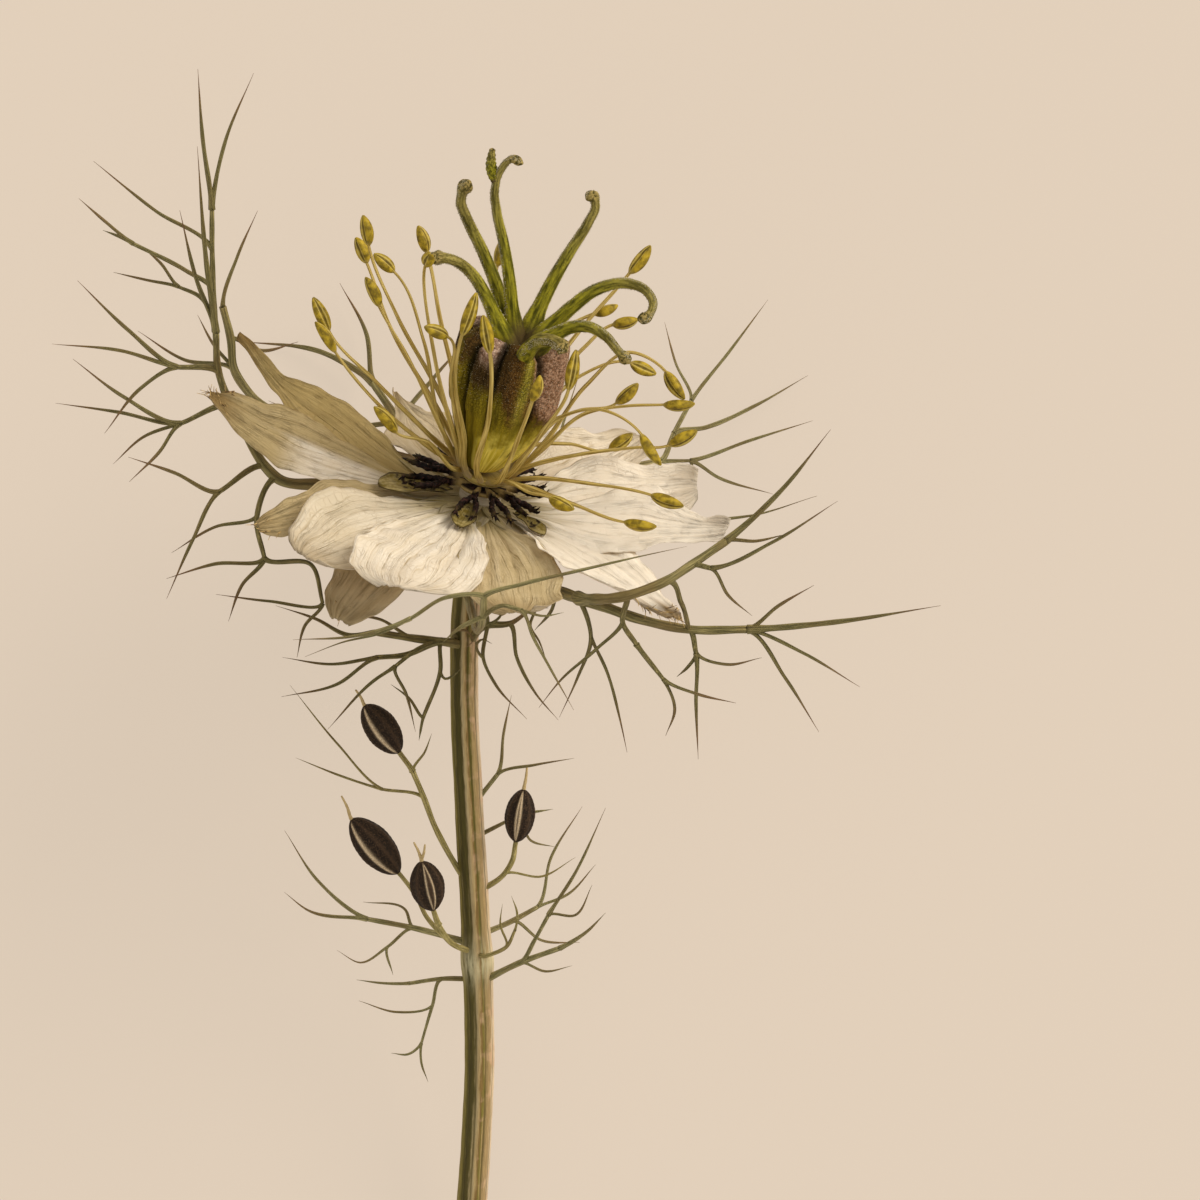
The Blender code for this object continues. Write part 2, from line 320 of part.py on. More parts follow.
        (0.6, 0.25, [(7.2, -41.0, 15.2), (9.5, -39.6, 16.4), (11.3, -37.8, 18.0)]),
        (0.6, 0.5, [(3.7, -42.3, 13.6), (5.0, -40.2, 15.6), (6.2, -38.0, 17.4)]),
        (0.5, 0.25, [(6.2, -38.0, 17.4), (8.6, -34.2, 20.0), (11.3, -28.4, 22.4)]),
        (0.4, 0.25, [(6.2, -38.0, 17.4), (8.6, -38.0, 18.4), (10.1, -35.3, 19.6)]),
        (0.4, 0.25, [(3.7, -42.3, 13.6), (5.9, -43.1, 13.2), (8.3, -42.6, 13.2)]),
    ],
    "leaf_right_back": [
        (0.7, 0.5, [(1.4, -38.2, 11.6), (3.0, -38.6, 10.4), (5.2, -37.4, 9.6)]),
        (0.4, 0.25, [(5.2, -37.4, 9.6), (8.0, -36.2, 9.4), (10.4, -33.6, 9.6)]),
        (0.4, 0.25, [(3.0, -38.6, 10.4), (5.6, -40.4, 9.2), (9.0, -40.6, 8.6)]),
        (0.4, 0.25, [(5.2, -37.4, 9.6), (6.4, -33.0, 9.4), (9.2, -28.4, 9.6)]),
    ],
    "leaf_left": [
        (0.9, 0.6, [(-2.3, -39.8, 12.8), (-5.9, -39.2, 13.8), (-10.0, -38.4, 14.8)]),
        (0.55, 0.25, [(-10.0, -38.4, 14.8), (-15.3, -37.6, 15.2), (-17.4, -36.0, 15.0)]),
        (0.55, 0.25, [(-10.0, -38.4, 14.8), (-14.4, -35.0, 14.2), (-17.4, -30.5, 13.6)]),
        (0.4, 0.25, [(-5.9, -39.2, 13.8), (-6.6, -37.6, 13.2), (-10.4, -36.9, 12.4)]),
        (0.5, 0.25, [(-5.9, -39.2, 13.8), (-8.2, -40.9, 14.2), (-10.6, -42.3, 14.4),
                     (-12.7, -41.2, 14.6)]),
        (0.35, 0.25, [(-8.2, -40.9, 14.2), (-7.7, -43.4, 14.2)]),
    ],
    "leaf_lower": [
        (0.8, 0.5, [(-2.1, -42.6, 11.4), (-3.4, -43.8, 11.2), (-6.2, -44.2, 11.0)]),
        (0.4, 0.25, [(-6.2, -44.2, 11.0), (-8.6, -44.2, 10.8), (-11.0, -43.9, 10.6)]),
        (0.5, 0.35, [(-3.4, -43.8, 11.2), (-4.2, -46.2, 10.4), (-5.2, -49.6, 9.4)]),
        (0.35, 0.25, [(-4.2, -46.2, 10.4), (-7.4, -46.8, 9.8), (-10.8, -45.8, 9.6)]),
        (0.35, 0.25, [(-5.2, -49.6, 9.4), (-6.4, -50.6, 9.0), (-7.9, -50.5, 8.8)]),
        (0.35, 0.25, [(-5.2, -49.6, 9.4), (-5.2, -51.4, 8.8), (-4.6, -53.1, 8.4)]),
    ],
    "twig_right": [
        (0.7, 0.5, [(0.9, -27.4, 16.4), (1.7, -25.4, 17.4)]),
        (0.45, 0.25, [(1.7, -25.4, 17.4), (2.2, -21.8, 18.2), (2.9, -18.4, 18.8)]),
        (0.45, 0.25, [(1.7, -25.4, 17.4), (5.0, -24.6, 19.0), (8.5, -24.0, 20.0)]),
    ],
    "twig_right_back": [
        (0.6, 0.4, [(0.7, -29.6, 14.8), (3.4, -29.2, 13.6)]),
        (0.4, 0.25, [(3.4, -29.2, 13.6), (6.6, -28.6, 12.8)]),
        (0.4, 0.25, [(3.4, -29.2, 13.6), (4.6, -31.4, 12.6), (6.8, -32.0, 11.8)]),
    ],
    "stalk_upper": [
        (0.9, 0.8, [(-2.5, -35.0, 14.2), (-3.0, -32.0, 15.4), (-4.0, -30.0, 16.0), (-4.9, -27.6, 16.6),
                    (-5.9, -25.2, 17.2)]),
        (0.8, 0.65, [(-5.9, -25.2, 17.2), (-6.85, -23.85, 17.5)]),
        (0.5, 0.4, [(-4.9, -27.6, 16.6), (-8.6, -26.8, 16.0)]),
        (0.4, 0.25, [(-8.6, -26.8, 16.0), (-12.6, -22.8, 15.4), (-16.9, -17.5, 15.0)]),
        (0.4, 0.25, [(-8.6, -26.8, 16.0), (-12.4, -25.6, 14.6), (-16.4, -24.0, 13.8)]),
        (0.45, 0.25, [(-5.9, -25.2, 17.2), (-4.8, -23.4, 18.0), (-4.2, -21.8, 18.4)]),
    ],
    "stalk_lower": [
        (0.9, 0.8, [(-1.4, -41.2, 14.6), (-2.9, -40.1, 15.6), (-3.6, -38.9, 16.4)]),
        (0.8, 0.65, [(-3.6, -38.9, 16.4), (-3.95, -37.95, 17.0)]),
        (0.7, 0.65, [(-2.9, -40.1, 15.6), (-4.7, -38.2, 14.6), (-5.6, -36.4, 13.4),
                     (-6.95, -34.6, 13.0)]),
        (0.7, 0.4, [(-1.4, -41.2, 14.6), (0.9, -41.6, 15.0), (2.4, -40.9, 15.6), (3.2, -39.4, 16.6)]),
        (0.4, 0.25, [(3.2, -39.4, 16.6), (3.4, -37.8, 17.4), (2.9, -36.3, 18.0)]),
        (0.4, 0.25, [(2.4, -40.9, 15.6), (1.9, -38.8, 17.0), (2.1, -37.0, 18.0)]),
    ],
    "stalk_right": [
        (0.8, 0.7, [(1.1, -34.8, 14.4), (2.3, -34.3, 14.8), (3.0, -33.1, 15.4), (3.22, -31.85, 16.0)]),
        (0.4, 0.25, [(2.3, -34.3, 14.8), (5.6, -34.6, 14.2), (8.6, -32.9, 14.0)]),
    ],
}

# Each seed case: its foot, its tip, its width, and where its beaks end.
SEED_CASES = [
    ((-7.1, -23.5, 17.6), (-10.2, -19.3, 18.4), 3.1, [(-11.0, -17.9, 18.8)]),
    ((-7.2, -34.3, 13.1), (-11.4, -29.5, 14.2), 3.3, [(-12.3, -27.4, 14.8)]),
    ((-4.1, -37.6, 17.3), (-5.1, -33.2, 18.6), 3.1, [(-5.8, -31.5, 19.2), (-4.8, -31.7, 19.6)]),
    ((3.3, -31.5, 16.3), (4.0, -26.8, 17.2), 2.7, [(4.3, -24.6, 17.3)]),
]
SEED_CASE_RIBS = 8
SEED_CASE_RIB_DEPTH = 0.07
SEED_CASE_RINGS = 8
# A beak starts inside its case, at this share of the case's length from the tip.
BEAK_SINK = 0.12
BEAK_WIDTHS = (0.4, 0.4, 0.25)

COLOURS = {
    "stem": (0.42, 0.33, 0.18, 1),
    "petal": (0.80, 0.72, 0.55, 1),
    "nectary": (0.03, 0.012, 0.02, 1),
    "stamen": (0.52, 0.42, 0.12, 1),
    "pod": (0.25, 0.21, 0.07, 1),
    "bract": (0.13, 0.15, 0.055, 1),
    "stalk": (0.38, 0.36, 0.13, 1),
    "seed_case": (0.035, 0.02, 0.016, 1),
}
ROUGHNESS = 0.6
# Points closer than this are one point, and edges sharper than this stay sharp.
WELD_DISTANCE = 0.001
SHARP_ANGLE = math.radians(50)


def head_axes():
    """The flower's axis, its right and its back, which points down to the surface."""
    axis = Vector((
        math.sin(LEAN_RIGHT) * math.cos(LEAN_UP),
        math.cos(LEAN_RIGHT) * math.cos(LEAN_UP),
        math.sin(LEAN_UP),
    ))
    right = Vector((math.cos(LEAN_RIGHT), -math.sin(LEAN_RIGHT), 0))
    return axis, right, axis.cross(right)


AXIS, RIGHT, BACK = head_axes()


def spoke(azimuth):
    """The direction away from the flower's axis at an azimuth in degrees."""
    turn = math.radians(azimuth)
    return RIGHT * math.cos(turn) + BACK * math.sin(turn)


def head_point(azimuth, reach, height):
    """A point of the flower, from its distance to the axis and its height along it."""
    return HEAD + spoke(azimuth) * reach + AXIS * height


def placed(point):
    """A point in millimetres under the flower, as metres from the part's origin."""
    return (Vector(point[:3]) + ORIGIN) * MM


def clear_scene():
    for old in list(bpy.data.objects):
        bpy.data.objects.remove(old, do_unlink=True)


def make_material(name, colour):
    material = bpy.data.materials.new(name)
    material.use_nodes = True
    shader = material.node_tree.nodes["Principled BSDF"]
    shader.inputs["Base Color"].default_value = colour
    shader.inputs["Roughness"].default_value = ROUGHNESS
    return material


def thread(name, path, widths, corners=0, profile=None):
    """A round thread through the points, as a closed mesh object that is in no collection."""
    curve = bpy.data.curves.new(name, "CURVE")
    curve.dimensions = "3D"
    curve.use_fill_caps = True
    if profile:
        curve.bevel_mode = "OBJECT"
        curve.bevel_object = profile
    else:
        curve.bevel_depth = MM / 2
        curve.bevel_resolution = corners
    spline = curve.splines.new("POLY")
    spline.points.add(len(path) - 1)
    for point, place, width in zip(spline.points, path, widths):
        point.co = (*placed(place), 1)
        point.radius = width
    guide = bpy.data.objects.new(name, curve)
    bpy.context.scene.collection.objects.link(guide)
    bpy.context.view_layer.update()
    graph = bpy.context.evaluated_depsgraph_get()
    mesh = bpy.data.meshes.new_from_object(guide.evaluated_get(graph))
    mesh.transform(guide.matrix_world)
    bpy.data.objects.remove(guide, do_unlink=True)
    weld(mesh)
    return bpy.data.objects.new(name, mesh)


def weld(mesh):
    edit = bmesh.new()
    edit.from_mesh(mesh)
    bmesh.ops.remove_doubles(edit, verts=edit.verts, dist=WELD_DISTANCE * MM)
    bmesh.ops.recalc_face_normals(edit, faces=edit.faces)
    edit.to_mesh(mesh)
    edit.free()


def tapered(path, start, end):
    """Widths that shrink evenly along the thread's way."""
    return list(np.linspace(start, end, len(path)))


def object_from(edit, name):
    mesh = bpy.data.meshes.new(name)
    edit.to_mesh(mesh)
    edit.free()
    return bpy.data.objects.new(name, mesh)


def disc(name, bottom, top, radius):
    """A flat round plate across the flower's axis, between two heights."""
    edit = bmesh.new()
    bmesh.ops.create_cone(
        edit, cap_ends=True, segments=DISC_SEGMENTS, radius1=radius * MM, radius2=radius * MM,
        depth=(top - bottom) * MM,
    )
    middle = placed(HEAD + AXIS * (bottom + top) / 2)
    frame = Matrix((RIGHT, BACK, AXIS)).transposed()
    bmesh.ops.transform(edit, matrix=Matrix.Translation(middle) @ frame.to_4x4(), verts=edit.verts)
    return object_from(edit, name)


def fuse(name, pieces, material, solver="EXACT"):
    """Joins closed pieces into one solid object with a union over a collection."""
    rest = bpy.data.collections.new(name + "_pieces")
    bpy.context.scene.collection.children.link(rest)
    first = pieces[0]
    bpy.context.scene.collection.objects.link(first)
    for piece in pieces[1:]:
        rest.objects.link(piece)
    union = first.modifiers.new("union", "BOOLEAN")
    union.operation = "UNION"
    union.operand_type = "COLLECTION"
    union.collection = rest
    union.solver = solver
    bpy.context.view_layer.update()
    graph = bpy.context.evaluated_depsgraph_get()
    mesh = bpy.data.meshes.new_from_object(first.evaluated_get(graph))
    for piece in pieces:
        bpy.data.objects.remove(piece, do_unlink=True)
    bpy.data.collections.remove(rest)
    drop_scraps(mesh)
    return finish(name, mesh, material)


def drop_scraps(mesh):
    """Keeps the largest connected body of a mesh and deletes the rest."""
    edit = bmesh.new()
    edit.from_mesh(mesh)
    waiting = set(edit.verts)
    bodies = []
    while waiting:
        front = [waiting.pop()]
        body = set(front)
        while front:
            vertex = front.pop()
            near = {edge.other_vert(vertex) for edge in vertex.link_edges} & waiting
            waiting -= near
            body |= near
            front += near
        bodies.append(body)
    largest = max(bodies, key=len)
    scraps = [vertex for vertex in edit.verts if vertex not in largest]
    bmesh.ops.delete(edit, geom=scraps, context="VERTS")
    edit.to_mesh(mesh)
    edit.free()


def finish(name, mesh, material):
    """A named part of the plant in the plant's collection, with its material."""
    mesh.name = name
    mesh.materials.clear()
    mesh.materials.append(material)
    mesh.shade_smooth()
    mesh.set_sharp_from_angle(angle=SHARP_ANGLE)
    part = bpy.data.objects.new(name, mesh)
    PLANT.objects.link(part)
    return part


def build_stem(material):
    """The ribbed stem, swept along its centre line and widened into the receptacle."""
    outline = bpy.data.curves.new("stem_outline", "CURVE")
    ring = outline.splines.new("POLY")
    count = 2 * STEM_RIBS
    ring.points.add(count - 1)
    for index in range(count):
        radius = STEM_WIDTH / 2 - STEM_RIB_DEPTH * (1 if index % 2 else -1)
        turn = math.tau * index / count
        ring.points[index].co = (radius * math.cos(turn) * MM, radius * math.sin(turn) * MM, 0, 1)
    ring.use_cyclic_u = True
    profile = bpy.data.objects.new("stem_outline", outline)
    widths = [point[3] for point in STEM_PATH]
    stem = thread("stem", STEM_PATH, widths, profile=profile)
    mesh = stem.data
    bpy.data.objects.remove(stem)
    bpy.data.objects.remove(profile)
    return finish("stem", mesh, material)


def petal_point(petal, along, across):
    """A point of a petal's middle surface: along runs 0 to 1, across runs -1 to 1."""
    azimuth, reach, half_width, tip_rise, base, twist, phase, bluntness, belly = petal
    pointed = np.interp(along, *zip(*POINTED_OUTLINE))
    blunt = np.interp(along, *zip(*BLUNT_OUTLINE))
    side = across * half_width * float(pointed + (blunt - pointed) * bluntness)
    height = base + tip_rise * along ** 2 + belly * math.sin(math.pi * along)
    height += PETAL_CUP * side ** 2 * along * (1 - along)
    wave = math.sin(math.tau * PETAL_WAVES * along + phase + PETAL_WAVE_SKEW * across)
    height += PETAL_WAVE * wave * across ** 2 * along
    turn = math.radians(twist) * min(1.0, along / PETAL_TWIST_SHARE)
    radius = PETAL_FOOT + (reach - PETAL_FOOT) * along
    sideways = spoke(azimuth + 90) * math.cos(turn) + AXIS * math.sin(turn) * petal_hand(azimuth)
    return head_point(azimuth, radius, height) + sideways * side


def petal_hand(azimuth):
    """Keeps a positive twist lifting the edge that lies nearer the surface."""
    return 1 if spoke(azimuth + 90).dot(BACK) >= 0 else -1


def petal_blade(name, petal):
    """One waved petal: a grid of triangles thickened to both sides."""
    edit = bmesh.new()
    grid = [
        [edit.verts.new(placed(petal_point(petal, row / PETAL_ROWS, 2 * column / PETAL_COLUMNS - 1)))
         for column in range(PETAL_COLUMNS + 1)]
        for row in range(PETAL_ROWS + 1)
    ]
    for lower, upper in zip(grid, grid[1:]):
        for column in range(PETAL_COLUMNS):
            a, b = lower[column], lower[column + 1]
            c, d = upper[column + 1], upper[column]
            edit.faces.new((a, b, c))
            edit.faces.new((a, c, d))
    blade = object_from(edit, name)
    shell = blade.modifiers.new("thickness", "SOLIDIFY")
    shell.thickness = PETAL_THICKNESS * MM
    shell.offset = 0
    bpy.context.scene.collection.objects.link(blade)
    bpy.context.view_layer.update()
    graph = bpy.context.evaluated_depsgraph_get()
    mesh = bpy.data.meshes.new_from_object(blade.evaluated_get(graph))
    bpy.data.objects.remove(blade, do_unlink=True)
    weld(mesh)
    return bpy.data.objects.new(name, mesh)


def build_petals(material):
    pieces = [disc("petal_disc", *PETAL_DISC, PETAL_DISC_RADIUS)]
    pieces += [petal_blade(f"petal_{number}", petal) for number, petal in enumerate(PETALS)]
    return fuse("petals", pieces, material, solver="MANIFOLD")


def build_nectaries(material):
    """The ring of forked nectaries, which spread over the petals' claws."""
    bottom, top = NECTARY_DISC
    middle = (bottom + top) / 2
    pieces = [disc("nectary_disc", bottom, top, NECTARY_DISC_RADIUS)]
    for azimuth, reach, rise, spread in NECTARIES:
        foot = head_point(azimuth, NECTARY_FOOT[0], middle + NECTARY_FOOT[1])
        fork = head_point(azimuth, NECTARY_FORK[0], middle + NECTARY_FORK[1])
        pieces.append(thread("neck", [foot, fork], NECTARY_NECK_WIDTHS))
        for turn in (azimuth - spread, azimuth + spread):
            tip = head_point(turn, reach, middle + rise)
            pieces.append(thread("lobe", [fork, tip], NECTARY_LOBE_WIDTHS))
    return fuse("nectaries", pieces, material)


def egg(name, start, end, width, segments=6, rings=4):
    """A long rounded body between two points."""
    edit = bmesh.new()
    bmesh.ops.create_uvsphere(edit, u_segments=segments, v_segments=rings, radius=0.5)
    span = Vector(end) - Vector(start)
    size = Matrix.Diagonal((width * MM, width * MM, span.length * MM, 1))
    turn = span.to_track_quat("Z", "Y").to_matrix().to_4x4()
    middle = Matrix.Translation(placed((Vector(start) + Vector(end)) / 2))
    bmesh.ops.transform(edit, matrix=middle @ turn @ size, verts=edit.verts)
    return object_from(edit, name)


def build_stamens(material):
    """Every filament with its anther, joined by the ring that they stand on."""
    bottom, top = STAMEN_DISC
    pieces = [disc("stamen_disc", bottom, top, STAMEN_DISC_RADIUS)]
    for azimuth, way, tip in STAMENS:
        foot = head_point(azimuth, FILAMENT_RING, (bottom + top) / 2)
        path = [foot] + [Vector(point) for point in way]
        path.append(path[-1].lerp(Vector(tip), FILAMENT_SINK))
        pieces.append(thread("filament", path, tapered(path, *FILAMENT_WIDTHS)))
        pieces.append(egg("anther", way[-1], tip, ANTHER_WIDTH))
    return fuse("stamens", pieces, material)


def pod_body():
    """The ovary: carpels side by side round the axis, with a groove between each two."""
    edit = bmesh.new()
    bmesh.ops.create_uvsphere(
        edit, u_segments=CARPELS * CARPEL_SEGMENTS, v_segments=POD_RINGS, radius=1,
    )
    shares, radii = zip(*POD_PROFILE)
    for vertex in edit.verts:
        share = 1 - math.acos(max(-1, min(1, vertex.co.z))) / math.pi
        turn = math.atan2(vertex.co.y, vertex.co.x)
        groove = 1 - abs(math.cos(CARPELS * (turn - CARPEL_TURN) / 2))
        radius = float(np.interp(share, shares, radii)) * (1 - CARPEL_GROOVE * groove ** 2)
        height = POD_BASE + (POD_TOP - POD_BASE) * share
        vertex.co = placed(head_point(math.degrees(turn), radius, height))
    return object_from(edit, "ovary")


def build_pod(material):
    pieces = [pod_body()]
    for start, end, path in STYLES:
        pieces.append(thread("style", path, tapered(path, start, end), corners=1))
    return fuse("pod", pieces, material)


def build_frond(name, threads, material):
    pieces = [
        thread(f"{name}_{number}", path, tapered(path, start, end))
        for number, (start, end, path) in enumerate(threads)
    ]
    return fuse(name, pieces, material)


def ribbed_case(name, start, end, width):
    """An egg-shaped seed case with ribs from foot to tip."""
    case = egg(name, start, end, width, segments=SEED_CASE_RIBS * 2, rings=SEED_CASE_RINGS)
    middle = placed((Vector(start) + Vector(end)) / 2)
    along = (Vector(end) - Vector(start)).normalized()
    side = along.orthogonal().normalized()
    other = along.cross(side)
    for vertex in case.data.vertices:
        offset = vertex.co - middle
        outward = offset - along * offset.dot(along)
        turn = math.atan2(outward.dot(other), outward.dot(side))
        vertex.co -= outward * SEED_CASE_RIB_DEPTH * (1 - math.cos(SEED_CASE_RIBS * turn))
    return case


def build_seed_case(name, start, end, width, beaks, material):
    pieces = [ribbed_case(name + "_body", start, end, width)]
    inside = Vector(end).lerp(Vector(start), BEAK_SINK)
    for tip in beaks:
        pieces.append(thread("beak", [inside, end, tip], BEAK_WIDTHS))
    return fuse(name, pieces, material)


def build_plant():
    materials = {name: make_material(name, colour) for name, colour in COLOURS.items()}
    build_stem(materials["stem"])
    build_petals(materials["petal"])
    build_nectaries(materials["nectary"])
    build_stamens(materials["stamen"])
    build_pod(materials["pod"])
    for name, threads in FRONDS.items():
        build_frond(name, threads, materials["stalk" if name.startswith("stalk") else "bract"])
    for number, (start, end, width, beaks) in enumerate(SEED_CASES, 1):
        build_seed_case(f"seed_case_{number}", start, end, width, beaks, materials["seed_case"])


clear_scene()
PLANT = bpy.data.collections.new("nigella_stem")
bpy.context.scene.collection.children.link(PLANT)
build_plant()
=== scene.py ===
"""Looks of the cut love-in-a-mist stem: a finer piece stands in for each solid of the model.

Sizes and places are in millimetres, measured from the point under the flower's centre, as in
the model; ORIGIN moves them to the middle of the part's footprint. Every surface has its own
procedural material, which reads values that the shapes below leave on their points.
"""

import math
import random

import bmesh
import bpy
import numpy as np
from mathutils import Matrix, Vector


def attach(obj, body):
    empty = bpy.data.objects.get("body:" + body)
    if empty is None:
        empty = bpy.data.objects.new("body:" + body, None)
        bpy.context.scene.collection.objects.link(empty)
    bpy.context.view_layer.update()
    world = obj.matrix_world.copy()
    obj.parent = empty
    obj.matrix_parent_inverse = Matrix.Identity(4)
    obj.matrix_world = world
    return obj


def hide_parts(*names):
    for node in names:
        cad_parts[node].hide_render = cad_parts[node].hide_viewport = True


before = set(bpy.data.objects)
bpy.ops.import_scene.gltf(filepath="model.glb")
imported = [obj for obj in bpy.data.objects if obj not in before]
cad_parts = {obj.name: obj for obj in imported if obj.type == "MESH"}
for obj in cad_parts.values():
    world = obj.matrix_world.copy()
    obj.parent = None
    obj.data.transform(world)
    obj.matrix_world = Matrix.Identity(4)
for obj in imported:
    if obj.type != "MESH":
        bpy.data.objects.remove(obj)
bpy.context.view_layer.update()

MM = 0.001
ORIGIN = np.array((-1.6, 21.6, 0.0))
RANDOM = random.Random(7)

# The flower head: the receptacle's centre, and how its axis leans to the right and upwards.
HEAD = np.array((0.3, 0.0, 25.8))
LEAN_RIGHT = math.radians(13)
LEAN_UP = math.radians(22)
STEM_WIDTH = 2.7
STEM_RIBS = 9
STEM_PATH = [
    (-2.4, -80.0, 1.45, 1.04),
    (-1.3, -72.0, 3.1, 1.0),
    (-0.7, -63.9, 5.1, 1.0),
    (0.0, -50.4, 9.2, 0.98),
    (-0.3, -39.6, 12.6, 0.96),
    (-0.9, -27.9, 16.2, 0.94),
    (-1.3, -18.0, 19.4, 0.92),
    (-1.2, -12.0, 21.3, 0.94),
    (-0.75, -6.2, 23.2, 1.0),
    (-0.3, -3.2, 24.45, 1.45),
    (-0.15, -2.05, 24.95, 1.75),
]
NECTARY_DISC = (0.0, 0.5)
STAMEN_DISC = (0.9, 1.5)
POD_BASE = 1.9
POD_TOP = 15.4
NECTARY_DISC_RADIUS = 2.3
STAMEN_DISC_RADIUS = 2.0
PETAL_FOOT = 1.2
PETAL_CUP = 0.09
PETAL_WAVE = 0.55
PETAL_WAVES = 1.6
PETAL_WAVE_SKEW = 1.3
PETAL_TWIST_SHARE = 0.62
POINTED_OUTLINE = [
    (0.0, 0.15), (0.13, 0.16), (0.21, 0.24), (0.29, 0.48), (0.38, 0.77), (0.48, 0.97), (0.57, 0.99),
    (0.67, 0.78), (0.75, 0.47), (0.82, 0.24), (0.89, 0.13), (1.0, 0.07),
]
BLUNT_OUTLINE = [
    (0.0, 0.15), (0.13, 0.16), (0.21, 0.24), (0.29, 0.38), (0.38, 0.54), (0.5, 0.73), (0.64, 0.91),
    (0.78, 1.0), (0.88, 0.95), (0.95, 0.72), (1.0, 0.3),
]
PETALS = [
    (157, 26.4, 3.3, 6.3, -1.2, 32, 0.4, 0.0, -0.9),
    (180, 25.4, 3.6, 4.0, -1.0, 28, 1.9, 0.5, -0.5),
    (213, 22.0, 3.6, -2.1, -1.4, 22, 0.9, 0.35, 0.3),
    (231, 21.8, 5.4, -2.1, -1.25, 8, 2.6, 0.85, 0.4),
    (244, 21.8, 5.0, -5.9, -1.45, -8, 0.2, 0.6, 0.4),
    (257, 22.6, 6.2, -1.0, -1.05, -4, 1.3, 0.95, 0.2),
    (285, 22.2, 5.0, -0.8, -1.3, 0, 2.2, 0.9, 0.3),
    (319, 25.2, 5.3, -0.1, -1.1, -5, 0.7, 0.5, 0.4),
    (349, 22.4, 5.2, 4.6, -1.35, 20, 1.6, 0.3, 0.4),
    (18, 19.6, 5.0, 3.4, -1.15, 24, 2.9, 0.5, 0.4),
    (50, 20.0, 5.0, 3.5, -1.35, 12, 0.5, 0.5, 0.4),
    (84, 20.5, 5.0, 2.5, -1.15, 0, 1.1, 0.3, 0.4),
    (122, 18.0, 4.4, 2.4, -1.35, 10, 2.0, 0.1, 0.4),
]
NECTARY_FOOT = (1.2, 0.0)
NECTARY_FORK = (3.2, 0.3)
NECTARIES = [
    (8, 5.8, 0.5, 9.0), (45, 6.6, 0.7, 9.5), (85, 6.2, 0.4, 9.5), (128, 7.0, 0.6, 9.0),
    (165, 7.4, 0.4, 8.0), (204, 7.4, 0.1, 10.0), (262, 7.9, -0.1, 8.0), (291, 7.2, 0.0, 7.5),
    (322, 6.4, 0.0, 8.0),
]
FILAMENT_WIDTHS = (0.62, 0.5)
FILAMENT_RING = 1.6
FILAMENT_SINK = 0.3
ANTHER_WIDTH = 1.25
